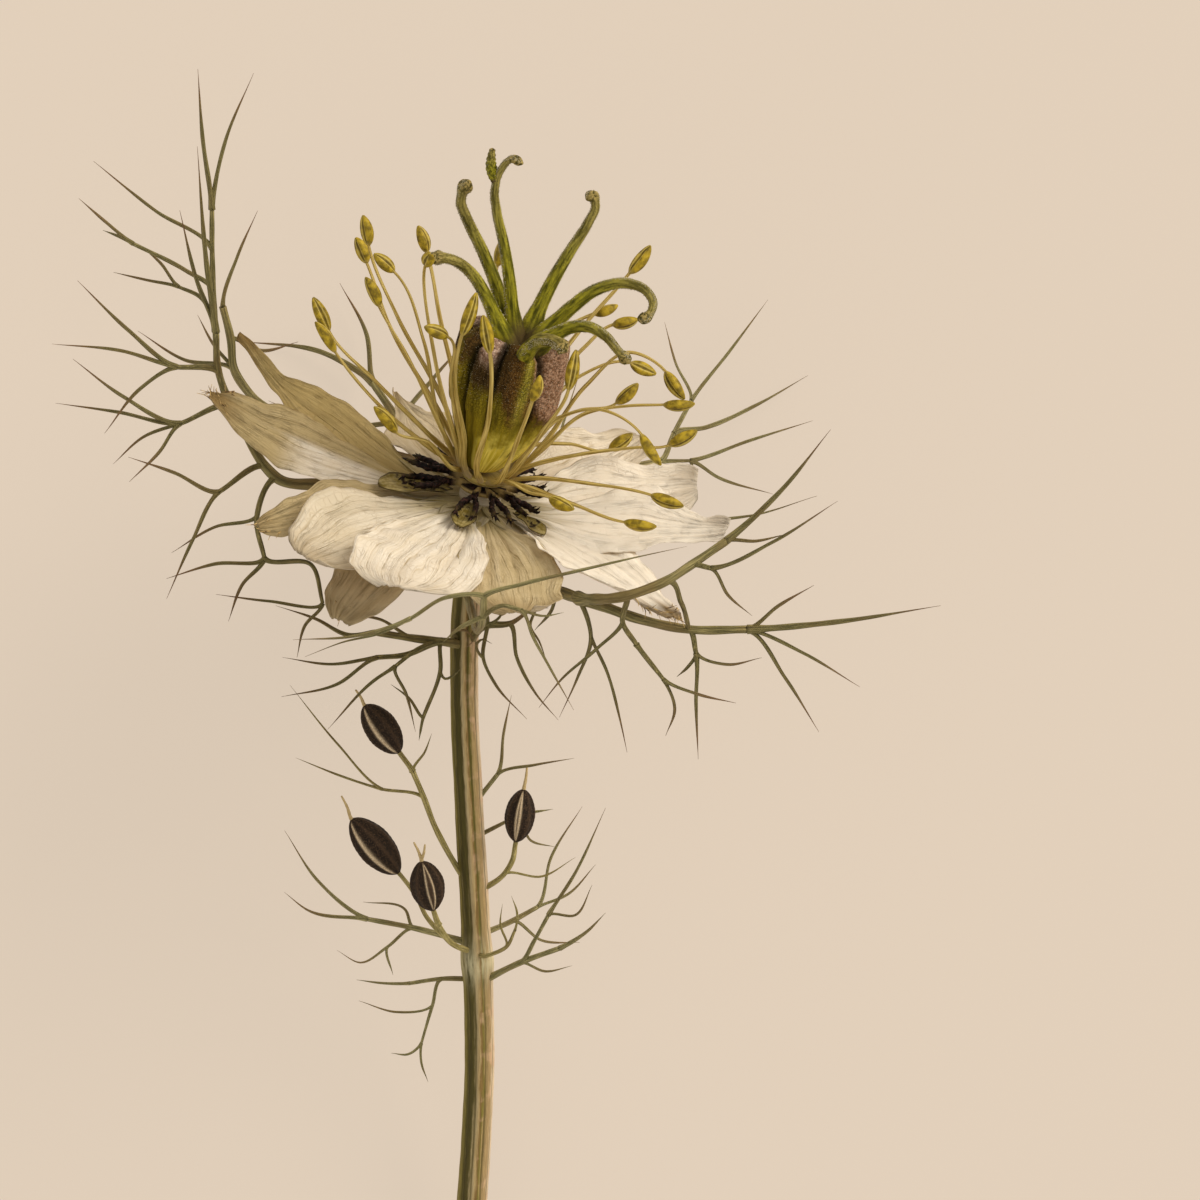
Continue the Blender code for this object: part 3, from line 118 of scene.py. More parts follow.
STAMENS = [
    (172, [(-4.5, 4.9, 28.6), (-9.0, 9.4, 30.2), (-13.2, 13.9, 31.5)], (-14.6, 16.9, 32.2)),
    (182, [(-4.0, 3.4, 29.6), (-8.6, 7.2, 31.9), (-12.6, 12.0, 33.6)], (-14.4, 14.7, 34.2)),
    (162, [(-3.0, 7.5, 27.2), (-7.2, 15.3, 29.0), (-9.7, 21.5, 29.8)], (-10.2, 24.2, 30.4)),
    (150, [(-3.6, 7.0, 24.6), (-7.9, 14.5, 25.4), (-9.9, 20.0, 25.9)], (-10.9, 22.3, 26.0)),
    (176, [(-3.4, 5.8, 29.8), (-4.8, 13.0, 32.6), (-7.4, 19.1, 35.0)], (-9.2, 20.7, 35.6)),
    (190, [(-2.9, 4.6, 30.6), (-6.2, 11.6, 34.2), (-8.7, 16.0, 36.4)], (-9.9, 18.6, 37.4)),
    (205, [(-2.0, 4.2, 31.2), (-3.8, 11.5, 36.2), (-4.6, 19.6, 40.9)], (-4.2, 20.6, 43.0)),
    (215, [(-1.6, 4.6, 32.4), (-2.4, 9.2, 36.6), (-2.6, 13.3, 39.0)], (-4.7, 14.2, 40.0)),
    (225, [(-1.3, 5.0, 33.2), (-2.0, 9.6, 37.0), (-1.4, 13.4, 39.6)], (-0.1, 17.2, 40.6)),
    (262, [(-0.1, 2.2, 33.6), (1.0, 6.4, 37.6), (1.1, 11.8, 39.4)], (0.5, 15.2, 40.6)),
    (300, [(3.2, 1.6, 32.6), (5.6, 4.8, 36.0), (8.0, 8.6, 37.2)], (8.7, 12.2, 37.8)),
    (286, [(2.0, 0.8, 33.0), (3.6, 4.4, 37.2), (4.8, 7.6, 39.0)], (5.5, 9.9, 40.0)),
    (322, [(4.2, 3.0, 31.2), (7.4, 6.3, 33.8), (11.0, 6.9, 35.6), (14.4, 4.8, 36.4)],
     (16.2, 2.0, 36.8)),
    (345, [(5.4, 3.2, 28.8), (9.4, 6.6, 29.6), (13.2, 7.3, 30.4), (16.4, 7.4, 31.0)],
     (19.2, 7.5, 31.4)),
    (352, [(5.6, 3.8, 25.4), (9.6, 9.2, 25.6), (13.4, 12.1, 26.8), (16.6, 10.4, 27.4)],
     (18.3, 7.9, 27.8)),
    (5, [(5.4, 6.4, 23.8), (9.0, 10.0, 23.0), (13.5, 11.2, 22.8)], (15.8, 10.2, 22.6)),
    (332, [(4.4, 1.9, 29.6), (9.0, 3.0, 31.0), (14.0, 3.6, 32.2), (16.9, 3.8, 32.8)],
     (19.4, 5.1, 33.2)),
    (30, [(4.0, 3.6, 23.0), (8.0, 4.0, 21.6), (11.6, 3.5, 21.2)], (13.7, 4.9, 21.2)),
    (20, [(5.0, 5.2, 22.0), (9.0, 7.0, 20.4), (12.2, 7.6, 20.0)], (14.2, 9.4, 20.0)),
    (50, [(4.6, 8.0, 21.0), (9.4, 14.6, 19.4), (13.4, 19.2, 19.2)], (15.3, 21.7, 19.4)),
    (70, [(3.6, 8.2, 20.0), (6.8, 13.8, 18.6), (10.2, 15.6, 18.4)], (12.4, 16.4, 18.4)),
    (38, [(5.2, 6.8, 22.0), (9.4, 12.6, 21.0), (11.9, 14.6, 20.8)], (14.2, 15.1, 20.8)),
    (326, [(4.8, 0.9, 29.8), (10.0, 0.4, 31.6), (15.3, -0.6, 33.2)], (18.2, -1.6, 33.8)),
    (314, [(4.0, 0.2, 30.4), (8.4, -1.4, 33.0), (12.9, -3.0, 35.4)], (15.8, -3.4, 36.2)),
    (290, [(2.8, 0.6, 31.8), (4.6, -0.4, 33.8), (6.3, -0.8, 35.2)], (8.5, -1.9, 36.0)),
    (196, [(-2.6, 2.0, 30.0), (-4.4, 4.1, 31.6), (-7.2, 4.9, 32.6)], (-9.2, 7.2, 33.6)),
    (110, [(0.4, 9.0, 19.4), (1.0, 16.0, 19.8), (1.6, 19.8, 20.6)], (2.1, 22.2, 21.2)),
    (135, [(-1.6, 7.6, 21.4), (-3.4, 15.0, 21.6), (-4.6, 21.0, 22.4)], (-5.4, 23.4, 22.8)),
]
CARPEL_GROOVE = 0.15
POD_PROFILE = [
    (0.0, 0.0), (0.02, 1.6), (0.12, 2.7), (0.28, 3.8), (0.45, 4.6), (0.62, 5.15),
    (0.78, 5.2), (0.9, 4.5), (0.97, 3.1), (1.0, 0.0),
]
STYLES = [
    (1.25, 0.75, [(2.9, 12.0, 31.0), (2.4, 14.0, 31.6), (1.9, 17.0, 32.2), (0.5, 20.8, 33.0),
                  (-1.05, 24.0, 34.0), (-1.5, 25.3, 34.8), (-1.3, 26.3, 35.2), (-0.7, 27.2, 35.4)]),
    (1.25, 0.5, [(3.4, 12.0, 31.6), (3.1, 14.6, 32.6), (2.8, 18.2, 34.2), (2.3, 21.6, 35.4),
                 (1.7, 24.3, 36.6), (1.5, 26.2, 37.4), (1.9, 27.8, 38.0), (3.0, 29.0, 38.6),
                 (4.0, 28.6, 39.2)]),
    (1.45, 0.6, [(3.9, 12.0, 30.8), (4.8, 14.6, 31.0), (6.2, 17.6, 31.2), (8.1, 20.9, 31.8),
                 (9.8, 23.6, 32.4), (10.4, 25.0, 32.8), (10.1, 25.9, 33.0), (9.6, 25.5, 33.2)]),
    (1.4, 0.6, [(4.2, 12.0, 31.6), (5.7, 13.5, 32.4), (8.3, 16.0, 33.6), (10.6, 17.6, 34.4),
                (13.2, 18.1, 35.0), (14.9, 17.4, 35.6), (15.5, 16.3, 36.0), (14.9, 15.1, 36.3),
                (14.1, 14.9, 36.4)]),
    (1.35, 0.6, [(4.2, 11.8, 32.6), (6.4, 13.3, 34.4), (8.3, 14.2, 35.4), (9.9, 14.2, 36.2),
                 (11.3, 13.4, 37.0), (12.4, 12.1, 37.8), (13.4, 11.0, 38.4)]),
    (1.6, 0.8, [(3.9, 11.0, 33.8), (4.5, 12.2, 36.4), (5.6, 13.0, 38.4), (6.8, 12.9, 39.8),
                (7.8, 12.1, 40.8)]),
    (1.3, 0.75, [(3.0, 12.0, 32.2), (1.9, 14.2, 33.6), (0.7, 17.0, 34.8), (-0.5, 18.9, 35.7),
                 (-1.7, 19.9, 36.6), (-2.9, 20.3, 37.4), (-4.3, 20.3, 38.0)]),
    (0.6, 0.6, [(1.6, 26.9, 37.7), (1.2, 28.4, 38.0), (1.3, 30.0, 38.3)]),
]
FRONDS = {
    "bract_left": [
        (1.6, 0.9, [(-2.6, -4.1, 23.1), (-8.0, -2.0, 22.6), (-13.0, 0.2, 22.8), (-18.0, 1.0, 23.2),
                    (-19.0, 2.0, 23.2), (-20.8, 5.2, 23.0), (-22.0, 7.3, 23.0)]),
        (0.9, 0.7, [(-22.0, 7.3, 23.0), (-23.1, 10.4, 25.0), (-23.3, 13.9, 27.6)]),
        (0.7, 0.25, [(-23.3, 13.9, 27.6), (-24.1, 20.3, 31.5), (-24.8, 30.2, 35.6)]),
        (0.55, 0.25, [(-23.3, 13.9, 27.6), (-25.0, 18.6, 30.0), (-26.4, 24.6, 33.0)]),
        (0.65, 0.55, [(-23.3, 13.9, 27.6), (-23.5, 17.6, 28.4), (-23.6, 21.2, 29.2),
                      (-23.6, 24.7, 30.0)]),
        (0.55, 0.25, [(-23.6, 24.7, 30.0), (-24.4, 31.0, 31.4), (-24.8, 37.1, 33.0)]),
        (0.55, 0.25, [(-23.6, 24.7, 30.0), (-22.4, 30.8, 30.2), (-19.9, 36.8, 30.4)]),
        (0.45, 0.25, [(-23.6, 21.2, 29.2), (-28.6, 24.6, 29.8), (-34.1, 29.0, 30.2)]),
        (0.5, 0.4, [(-23.5, 17.6, 28.4), (-25.9, 19.3, 28.8), (-30.6, 21.7, 29.4)]),
        (0.4, 0.25, [(-30.6, 21.7, 29.4), (-33.0, 23.6, 30.0), (-35.4, 25.7, 30.4)]),
        (0.4, 0.25, [(-30.6, 21.7, 29.4), (-32.0, 22.4, 28.8), (-33.3, 22.9, 28.4)]),
        (0.45, 0.35, [(-23.3, 13.9, 27.6), (-24.7, 17.0, 27.4), (-26.6, 17.9, 27.2)]),
        (0.35, 0.25, [(-26.6, 17.9, 27.2), (-29.4, 18.5, 27.0), (-32.4, 19.2, 26.6)]),
        (0.35, 0.25, [(-26.6, 17.9, 27.2), (-28.2, 20.0, 27.6), (-30.0, 21.6, 28.0)]),
        (0.7, 0.5, [(-23.1, 10.4, 25.0), (-26.8, 10.8, 26.4)]),
        (0.5, 0.25, [(-26.8, 10.8, 26.4), (-31.6, 12.2, 28.0), (-37.8, 12.8, 29.6)]),
        (0.5, 0.25, [(-26.8, 10.8, 26.4), (-31.0, 14.0, 28.6), (-35.5, 18.4, 31.0)]),
        (0.45, 0.25, [(-26.8, 10.8, 26.4), (-30.0, 8.9, 26.2), (-33.2, 4.9, 26.4)]),
        (0.7, 0.5, [(-22.0, 7.3, 23.0), (-26.5, 5.8, 24.2)]),
        (0.5, 0.25, [(-26.5, 5.8, 24.2), (-31.6, 8.2, 26.0), (-36.0, 11.5, 27.4)]),
        (0.5, 0.25, [(-26.5, 5.8, 24.2), (-32.0, 6.8, 24.2), (-37.6, 7.6, 24.6)]),
        (0.45, 0.25, [(-26.5, 5.8, 24.2), (-29.8, 4.6, 23.8), (-32.5, 2.2, 23.4)]),
        (0.45, 0.25, [(-26.5, 5.8, 24.2), (-28.4, 3.2, 25.4), (-31.0, 0.6, 26.4)]),
        (0.75, 0.55, [(-19.0, 2.0, 23.2), (-23.1, -0.3, 24.6)]),
        (0.5, 0.25, [(-23.1, -0.3, 24.6), (-27.0, 1.4, 25.4), (-31.1, 2.8, 26.0)]),
        (0.5, 0.25, [(-23.1, -0.3, 24.6), (-25.4, -4.6, 25.6), (-27.7, -9.8, 26.0)]),
        (0.7, 0.5, [(-18.0, 1.0, 23.2), (-19.7, -2.5, 24.6), (-19.0, -6.2, 26.4)]),
        (0.45, 0.25, [(-19.7, -2.5, 24.6), (-23.4, -3.4, 24.4), (-27.3, -5.7, 23.8)]),
        (0.45, 0.25, [(-19.0, -6.2, 26.4), (-23.4, -6.7, 26.8), (-27.7, -8.0, 26.6)]),
        (0.45, 0.25, [(-19.0, -6.2, 26.4), (-21.0, -8.6, 26.8), (-22.2, -11.8, 26.6)]),
        (0.5, 0.4, [(-19.0, -6.2, 26.4), (-14.8, -6.8, 27.6), (-13.8, -10.2, 28.2)]),
        (0.4, 0.25, [(-13.8, -10.2, 28.2), (-18.6, -10.0, 28.0), (-23.3, -9.4, 27.4)]),
        (0.4, 0.25, [(-13.8, -10.2, 28.2), (-15.4, -12.2, 28.0), (-16.1, -15.0, 27.6)]),
    ],
    "bract_left_back": [
        (1.5, 0.8, [(-1.6, -2.6, 21.2), (-8.0, 0.6, 17.8), (-15.0, 5.0, 14.6), (-20.4, 8.4, 13.0),
                    (-21.9, 10.7, 13.2), (-22.2, 13.4, 13.8), (-22.9, 16.3, 14.8)]),
        (0.45, 0.25, [(-22.9, 16.3, 14.8), (-21.6, 20.8, 14.2), (-19.8, 24.9, 13.8)]),
        (0.5, 0.25, [(-22.2, 13.4, 13.8), (-19.4, 12.4, 12.4), (-16.2, 13.2, 11.4)]),
        (0.45, 0.25, [(-21.9, 10.7, 13.2), (-23.8, 13.0, 12.4), (-25.2, 15.6, 12.0)]),
        (0.45, 0.25, [(-21.9, 10.7, 13.2), (-26.4, 11.6, 11.0), (-30.6, 14.2, 9.4)]),
    ],
    "bract_back": [
        (1.4, 0.8, [(-0.4, -1.4, 20.4), (-3.5, 1.8, 13.4), (-7.0, 5.8, 6.4), (-9.6, 9.6, 2.6)]),
        (0.7, 0.25, [(-9.6, 9.6, 2.6), (-14.0, 12.3, 1.3), (-21.6, 13.4, 0.12)]),
        (0.6, 0.25, [(-9.6, 9.6, 2.6), (-10.2, 14.0, 1.6), (-12.6, 18.6, 1.2)]),
        (0.6, 0.25, [(-7.0, 5.8, 6.4), (-13.0, 5.6, 4.2), (-19.0, 8.0, 2.8)]),
        (0.6, 0.25, [(-7.0, 5.8, 6.4), (-4.2, 10.0, 2.8), (-1.0, 13.6, 1.4)]),
        (0.55, 0.25, [(-3.5, 1.8, 13.4), (-8.4, 1.0, 9.4), (-13.6, 0.6, 7.4)]),
    ],
    "bract_right_back": [
        (1.4, 0.8, [(1.6, -2.4, 21.6), (5.6, 0.0, 16.0), (11.4, 1.6, 10.2), (16.2, 2.5, 7.0)]),
        (0.7, 0.5, [(16.2, 2.5, 7.0), (17.4, 5.0, 5.4), (19.0, 8.0, 4.0)]),
        (0.5, 0.25, [(19.0, 8.0, 4.0), (22.4, 12.4, 2.8), (25.9, 17.1, 2.0)]),
        (0.4, 0.25, [(19.0, 8.0, 4.0), (17.6, 11.4, 2.6), (16.6, 15.1, 2.0)]),
        (0.6, 0.25, [(17.4, 5.0, 5.4), (20.3, 5.6, 4.0), (24.8, 7.6, 1.8), (29.5, 10.3, 0.12)]),
        (0.6, 0.4, [(16.2, 2.5, 7.0), (18.9, 2.6, 6.2)]),
        (0.5, 0.25, [(18.9, 2.6, 6.2), (24.2, 4.4, 5.4), (29.9, 6.2, 4.8)]),
        (0.5, 0.25, [(18.9, 2.6, 6.2), (21.4, 1.1, 6.4), (26.3, -0.4, 7.0)]),
        (0.4, 0.25, [(18.9, 2.6, 6.2), (18.7, 0.8, 6.4), (17.3, -0.9, 6.4)]),
        (0.5, 0.25, [(11.4, 1.6, 10.2), (17.6, -2.4, 10.6), (24.0, -2.4, 11.6), (30.2, -0.6, 12.8)]),
        (0.5, 0.25, [(5.6, 0.0, 16.0), (7.4, 5.6, 8.2), (9.0, 10.6, 3.0)]),
    ],
    "bract_right": [
        (1.5, 1.2, [(1.75, -6.2, 23.5), (3.2, -7.2, 24.8), (5.0, -8.2, 29.0), (6.8, -9.0, 33.4),
                    (8.8, -9.7, 37.6)]),
        (1.15, 0.75, [(8.8, -9.7, 37.6), (10.4, -9.8, 41.4), (12.0, -9.7, 43.8), (13.1, -9.5, 44.8),
                      (16.6, -8.2, 44.6), (18.8, -6.8, 43.2), (21.9, -4.7, 41.8)]),
        (0.7, 0.25, [(21.9, -4.7, 41.8), (26.8, -0.2, 42.8), (31.1, 5.1, 44.0)]),
        (0.4, 0.25, [(21.9, -4.7, 41.8), (24.6, -4.7, 41.4), (27.2, -4.1, 41.0)]),
        (0.6, 0.5, [(18.8, -6.8, 43.2), (20.6, -7.1, 43.4)]),
        (0.5, 0.25, [(20.6, -7.1, 43.4), (26.0, -4.8, 44.6), (31.7, -1.2, 45.6)]),
        (0.4, 0.25, [(20.6, -7.1, 43.4), (22.1, -9.5, 42.8), (24.2, -11.3, 42.2)]),
        (0.6, 0.45, [(16.6, -8.2, 44.6), (18.0, -10.2, 40.0), (18.7, -12.5, 34.6)]),
        (1.1, 0.8, [(8.8, -9.7, 37.6), (11.2, -10.5, 36.8), (14.0, -11.5, 35.6), (18.7, -12.5, 34.6),
                    (23.8, -12.5, 34.4)]),
        (0.75, 0.25, [(23.8, -12.5, 34.4), (32.0, -11.8, 35.2), (40.9, -10.4, 36.6)]),
        (0.45, 0.25, [(23.8, -12.5, 34.4), (26.6, -10.4, 35.0), (29.7, -8.6, 35.6)]),
        (0.5, 0.25, [(23.8, -12.5, 34.4), (28.8, -14.6, 34.0), (33.8, -17.6, 33.4)]),
        (0.5, 0.25, [(23.8, -12.5, 34.4), (27.2, -16.8, 32.8), (30.2, -21.6, 31.2)]),
        (0.6, 0.5, [(18.7, -12.5, 34.6), (19.3, -14.6, 34.2)]),
        (0.5, 0.25, [(19.3, -14.6, 34.2), (19.3, -19.0, 33.0), (19.5, -24.0, 31.6)]),
        (0.4, 0.25, [(19.3, -14.6, 34.2), (18.6, -15.8, 33.4), (17.6, -16.7, 32.6)]),
        (0.4, 0.25, [(19.3, -14.6, 34.2), (22.0, -15.6, 34.6), (25.1, -15.0, 35.0)]),
        (0.6, 0.5, [(13.1, -9.5, 44.8), (12.8, -11.9, 42.4), (14.0, -13.8, 40.6)]),
        (0.55, 0.4, [(14.0, -13.8, 40.6), (16.4, -16.9, 38.8)]),
        (0.4, 0.25, [(16.4, -16.9, 38.8), (17.4, -19.6, 37.4), (16.6, -21.9, 36.2)]),
        (0.4, 0.25, [(16.4, -16.9, 38.8), (19.4, -18.2, 38.6), (22.8, -19.0, 38.4)]),
        (0.5, 0.25, [(8.8, -9.7, 37.6), (10.0, -13.2, 35.0), (8.8, -16.8, 32.2), (7.2, -20.3, 30.0)]),
        (0.4, 0.25, [(12.8, -11.9, 42.4), (10.4, -14.3, 40.4), (7.4, -16.9, 38.4), (5.4, -19.4, 36.8)]),
        (0.5, 0.25, [(6.8, -9.0, 33.4), (6.6, -10.6, 32.6), (5.0, -12.6, 31.4)]),
        (0.35, 0.25, [(10.0, -13.2, 35.0), (11.4, -16.2, 33.6), (12.6, -20.6, 32.0), (13.2, -23.4, 31.0)]),
    ],
    "bract_front": [
        (1.1, 0.8, [(-0.6, -8.6, 24.8), (-0.4, -11.6, 31.0), (0.0, -12.6, 38.5), (0.5, -11.4, 45.0),
                    (0.6, -9.6, 47.4)]),
        (0.65, 0.25, [(0.6, -9.6, 47.4), (4.0, -8.5, 48.6), (8.6, -7.4, 49.4), (14.2, -6.1, 50.0),
                      (18.4, -5.2, 50.4)]),
        (0.65, 0.3, [(0.6, -9.6, 47.4), (-2.8, -9.7, 48.0), (-5.8, -11.5, 47.4), (-8.5, -12.8, 46.0),
                     (-11.8, -13.6, 44.0), (-15.2, -14.9, 41.8)]),
        (0.8, 0.3, [(0.5, -11.4, 45.0), (-1.6, -12.4, 45.4), (-3.2, -13.8, 45.2)]),
        (0.5, 0.25, [(-5.8, -11.5, 47.4), (-10.4, -13.0, 47.0), (-16.2, -13.4, 45.6)]),
        (0.7, 0.5, [(0.5, -11.4, 45.0), (2.2, -10.4, 46.8), (3.9, -10.8, 47.8)]),
        (0.5, 0.25, [(3.9, -10.8, 47.8), (4.9, -13.1, 47.8), (6.2, -15.5, 47.0), (8.5, -19.6, 45.4)]),
        (0.4, 0.25, [(3.9, -10.8, 47.8), (5.8, -11.3, 47.8), (7.6, -11.0, 47.4)]),
    ],
    "bract_lower_left": [
        (1.2, 0.8, [(-3.1, -12.8, 22.2), (-3.3, -13.6, 23.2), (-5.8, -13.3, 24.2), (-9.0, -12.8, 25.0)]),
        (0.6, 0.25, [(-9.0, -12.8, 25.0), (-11.6, -13.0, 25.6), (-14.4, -11.6, 26.0),
                     (-18.0, -10.4, 26.2)]),
        (0.45, 0.25, [(-5.8, -13.3, 24.2), (-8.8, -11.6, 25.6), (-12.4, -11.2, 26.4)]),
        (0.8, 0.6, [(-3.3, -13.6, 23.2), (-6.6, -14.8, 24.4), (-9.0, -15.0, 25.2)]),
        (0.5, 0.25, [(-9.0, -15.0, 25.2), (-13.0, -15.6, 25.8), (-17.4, -15.0, 26.2)]),
        (0.5, 0.25, [(-9.0, -15.0, 25.2), (-12.6, -17.4, 26.0), (-17.5, -18.5, 26.6)]),
        (0.7, 0.5, [(-3.3, -13.6, 23.2), (-5.6, -14.4, 25.4), (-7.4, -15.8, 26.0)]),
        (0.5, 0.25, [(-7.4, -15.8, 26.0), (-9.2, -17.0, 26.2), (-13.4, -21.4, 26.0)]),
        (0.45, 0.25, [(-7.4, -15.8, 26.0), (-6.4, -18.3, 25.6), (-5.6, -21.6, 25.2)]),
        (0.5, 0.4, [(-3.3, -13.6, 23.2), (-3.4, -16.2, 24.2), (-4.9, -20.3, 24.6)]),
        (0.35, 0.25, [(-4.9, -20.3, 24.6), (-5.3, -22.4, 24.4)]),
        (0.35, 0.25, [(-4.9, -20.3, 24.6), (-6.2, -18.6, 24.2), (-7.8, -17.4, 23.8)]),
        (0.35, 0.3, [(-3.1, -12.8, 22.2), (-2.2, -12.6, 23.4), (-1.0, -12.7, 23.9), (-0.5, -13.5, 23.8),
                     (-1.2, -14.2, 23.5)]),
        (0.35, 0.3, [(-3.4, -16.2, 24.2), (-3.0, -16.9, 24.4), (-2.2, -16.6, 24.4), (-1.6, -16.0, 24.2)]),
    ],
    "bract_lower_right": [
        (1.0, 0.6, [(0.75, -13.4, 21.6), (0.7, -12.2, 23.2), (2.75, -12.0, 23.9), (5.0, -10.7, 24.4),
                    (6.2, -10.6, 24.6)]),
        (0.45, 0.25, [(0.7, -12.2, 23.2), (0.8, -11.4, 24.0), (0.4, -10.5, 24.6)]),
        (0.45, 0.25, [(0.7, -12.2, 23.2), (1.7, -11.6, 24.2), (2.5, -10.5, 24.6)]),
        (0.5, 0.25, [(0.7, -12.2, 23.2), (0.4, -15.0, 23.4), (1.5, -17.4, 23.6), (4.3, -20.5, 23.8)]),
        (0.5, 0.25, [(2.75, -12.0, 23.9), (3.4, -15.0, 23.8), (5.0, -18.1, 23.4), (7.1, -20.6, 22.8)]),
        (0.35, 0.25, [(5.0, -10.7, 24.4), (4.6, -12.2, 23.6), (5.4, -13.6, 23.2), (6.0, -15.2, 22.8)]),
        (0.35, 0.25, [(0.4, -15.0, 23.4), (-0.2, -13.9, 24.2), (0.4, -13.4, 24.8), (1.2, -13.8, 24.8)]),
    ],
    "leaf_right": [
        (0.9, 0.6, [(1.7, -43.0, 12.4), (3.7, -42.3, 13.6), (7.2, -41.0, 15.2)]),
        (0.6, 0.25, [(7.2, -41.0, 15.2), (9.5, -39.6, 16.4), (11.3, -37.8, 18.0)]),
        (0.6, 0.5, [(3.7, -42.3, 13.6), (5.0, -40.2, 15.6), (6.2, -38.0, 17.4)]),
        (0.5, 0.25, [(6.2, -38.0, 17.4), (8.6, -34.2, 20.0), (11.3, -28.4, 22.4)]),
        (0.4, 0.25, [(6.2, -38.0, 17.4), (8.6, -38.0, 18.4), (10.1, -35.3, 19.6)]),
        (0.4, 0.25, [(3.7, -42.3, 13.6), (5.9, -43.1, 13.2), (8.3, -42.6, 13.2)]),
    ],
    "leaf_right_back": [
        (0.7, 0.5, [(1.4, -38.2, 11.6), (3.0, -38.6, 10.4), (5.2, -37.4, 9.6)]),
        (0.4, 0.25, [(5.2, -37.4, 9.6), (8.0, -36.2, 9.4), (10.4, -33.6, 9.6)]),
        (0.4, 0.25, [(3.0, -38.6, 10.4), (5.6, -40.4, 9.2), (9.0, -40.6, 8.6)]),
        (0.4, 0.25, [(5.2, -37.4, 9.6), (6.4, -33.0, 9.4), (9.2, -28.4, 9.6)]),
    ],
    "leaf_left": [
        (0.9, 0.6, [(-2.3, -39.8, 12.8), (-5.9, -39.2, 13.8), (-10.0, -38.4, 14.8)]),
        (0.55, 0.25, [(-10.0, -38.4, 14.8), (-15.3, -37.6, 15.2), (-17.4, -36.0, 15.0)]),
        (0.55, 0.25, [(-10.0, -38.4, 14.8), (-14.4, -35.0, 14.2), (-17.4, -30.5, 13.6)]),
        (0.4, 0.25, [(-5.9, -39.2, 13.8), (-6.6, -37.6, 13.2), (-10.4, -36.9, 12.4)]),
        (0.5, 0.25, [(-5.9, -39.2, 13.8), (-8.2, -40.9, 14.2), (-10.6, -42.3, 14.4),
                     (-12.7, -41.2, 14.6)]),
        (0.35, 0.25, [(-8.2, -40.9, 14.2), (-7.7, -43.4, 14.2)]),
    ],
    "leaf_lower": [
        (0.8, 0.5, [(-2.1, -42.6, 11.4), (-3.4, -43.8, 11.2), (-6.2, -44.2, 11.0)]),
        (0.4, 0.25, [(-6.2, -44.2, 11.0), (-8.6, -44.2, 10.8), (-11.0, -43.9, 10.6)]),
        (0.5, 0.35, [(-3.4, -43.8, 11.2), (-4.2, -46.2, 10.4), (-5.2, -49.6, 9.4)]),
        (0.35, 0.25, [(-4.2, -46.2, 10.4), (-7.4, -46.8, 9.8), (-10.8, -45.8, 9.6)]),
        (0.35, 0.25, [(-5.2, -49.6, 9.4), (-6.4, -50.6, 9.0), (-7.9, -50.5, 8.8)]),
        (0.35, 0.25, [(-5.2, -49.6, 9.4), (-5.2, -51.4, 8.8), (-4.6, -53.1, 8.4)]),
    ],
    "twig_right": [
        (0.7, 0.5, [(0.9, -27.4, 16.4), (1.7, -25.4, 17.4)]),
        (0.45, 0.25, [(1.7, -25.4, 17.4), (2.2, -21.8, 18.2), (2.9, -18.4, 18.8)]),
        (0.45, 0.25, [(1.7, -25.4, 17.4), (5.0, -24.6, 19.0), (8.5, -24.0, 20.0)]),
    ],
    "twig_right_back": [
        (0.6, 0.4, [(0.7, -29.6, 14.8), (3.4, -29.2, 13.6)]),
        (0.4, 0.25, [(3.4, -29.2, 13.6), (6.6, -28.6, 12.8)]),
        (0.4, 0.25, [(3.4, -29.2, 13.6), (4.6, -31.4, 12.6), (6.8, -32.0, 11.8)]),
    ],
    "stalk_upper": [
        (0.9, 0.8, [(-2.5, -35.0, 14.2), (-3.0, -32.0, 15.4), (-4.0, -30.0, 16.0), (-4.9, -27.6, 16.6),
                    (-5.9, -25.2, 17.2)]),
        (0.8, 0.65, [(-5.9, -25.2, 17.2), (-6.85, -23.85, 17.5)]),
        (0.5, 0.4, [(-4.9, -27.6, 16.6), (-8.6, -26.8, 16.0)]),
        (0.4, 0.25, [(-8.6, -26.8, 16.0), (-12.6, -22.8, 15.4), (-16.9, -17.5, 15.0)]),
        (0.4, 0.25, [(-8.6, -26.8, 16.0), (-12.4, -25.6, 14.6), (-16.4, -24.0, 13.8)]),
        (0.45, 0.25, [(-5.9, -25.2, 17.2), (-4.8, -23.4, 18.0), (-4.2, -21.8, 18.4)]),
    ],
    "stalk_lower": [
        (0.9, 0.8, [(-1.4, -41.2, 14.6), (-2.9, -40.1, 15.6), (-3.6, -38.9, 16.4)]),
        (0.8, 0.65, [(-3.6, -38.9, 16.4), (-3.95, -37.95, 17.0)]),
        (0.7, 0.65, [(-2.9, -40.1, 15.6), (-4.7, -38.2, 14.6), (-5.6, -36.4, 13.4),
                     (-6.95, -34.6, 13.0)]),
        (0.7, 0.4, [(-1.4, -41.2, 14.6), (0.9, -41.6, 15.0), (2.4, -40.9, 15.6), (3.2, -39.4, 16.6)]),
        (0.4, 0.25, [(3.2, -39.4, 16.6), (3.4, -37.8, 17.4), (2.9, -36.3, 18.0)]),
        (0.4, 0.25, [(2.4, -40.9, 15.6), (1.9, -38.8, 17.0), (2.1, -37.0, 18.0)]),
    ],
    "stalk_right": [
        (0.8, 0.7, [(1.1, -34.8, 14.4), (2.3, -34.3, 14.8), (3.0, -33.1, 15.4), (3.22, -31.85, 16.0)]),
        (0.4, 0.25, [(2.3, -34.3, 14.8), (5.6, -34.6, 14.2), (8.6, -32.9, 14.0)]),
    ],
}
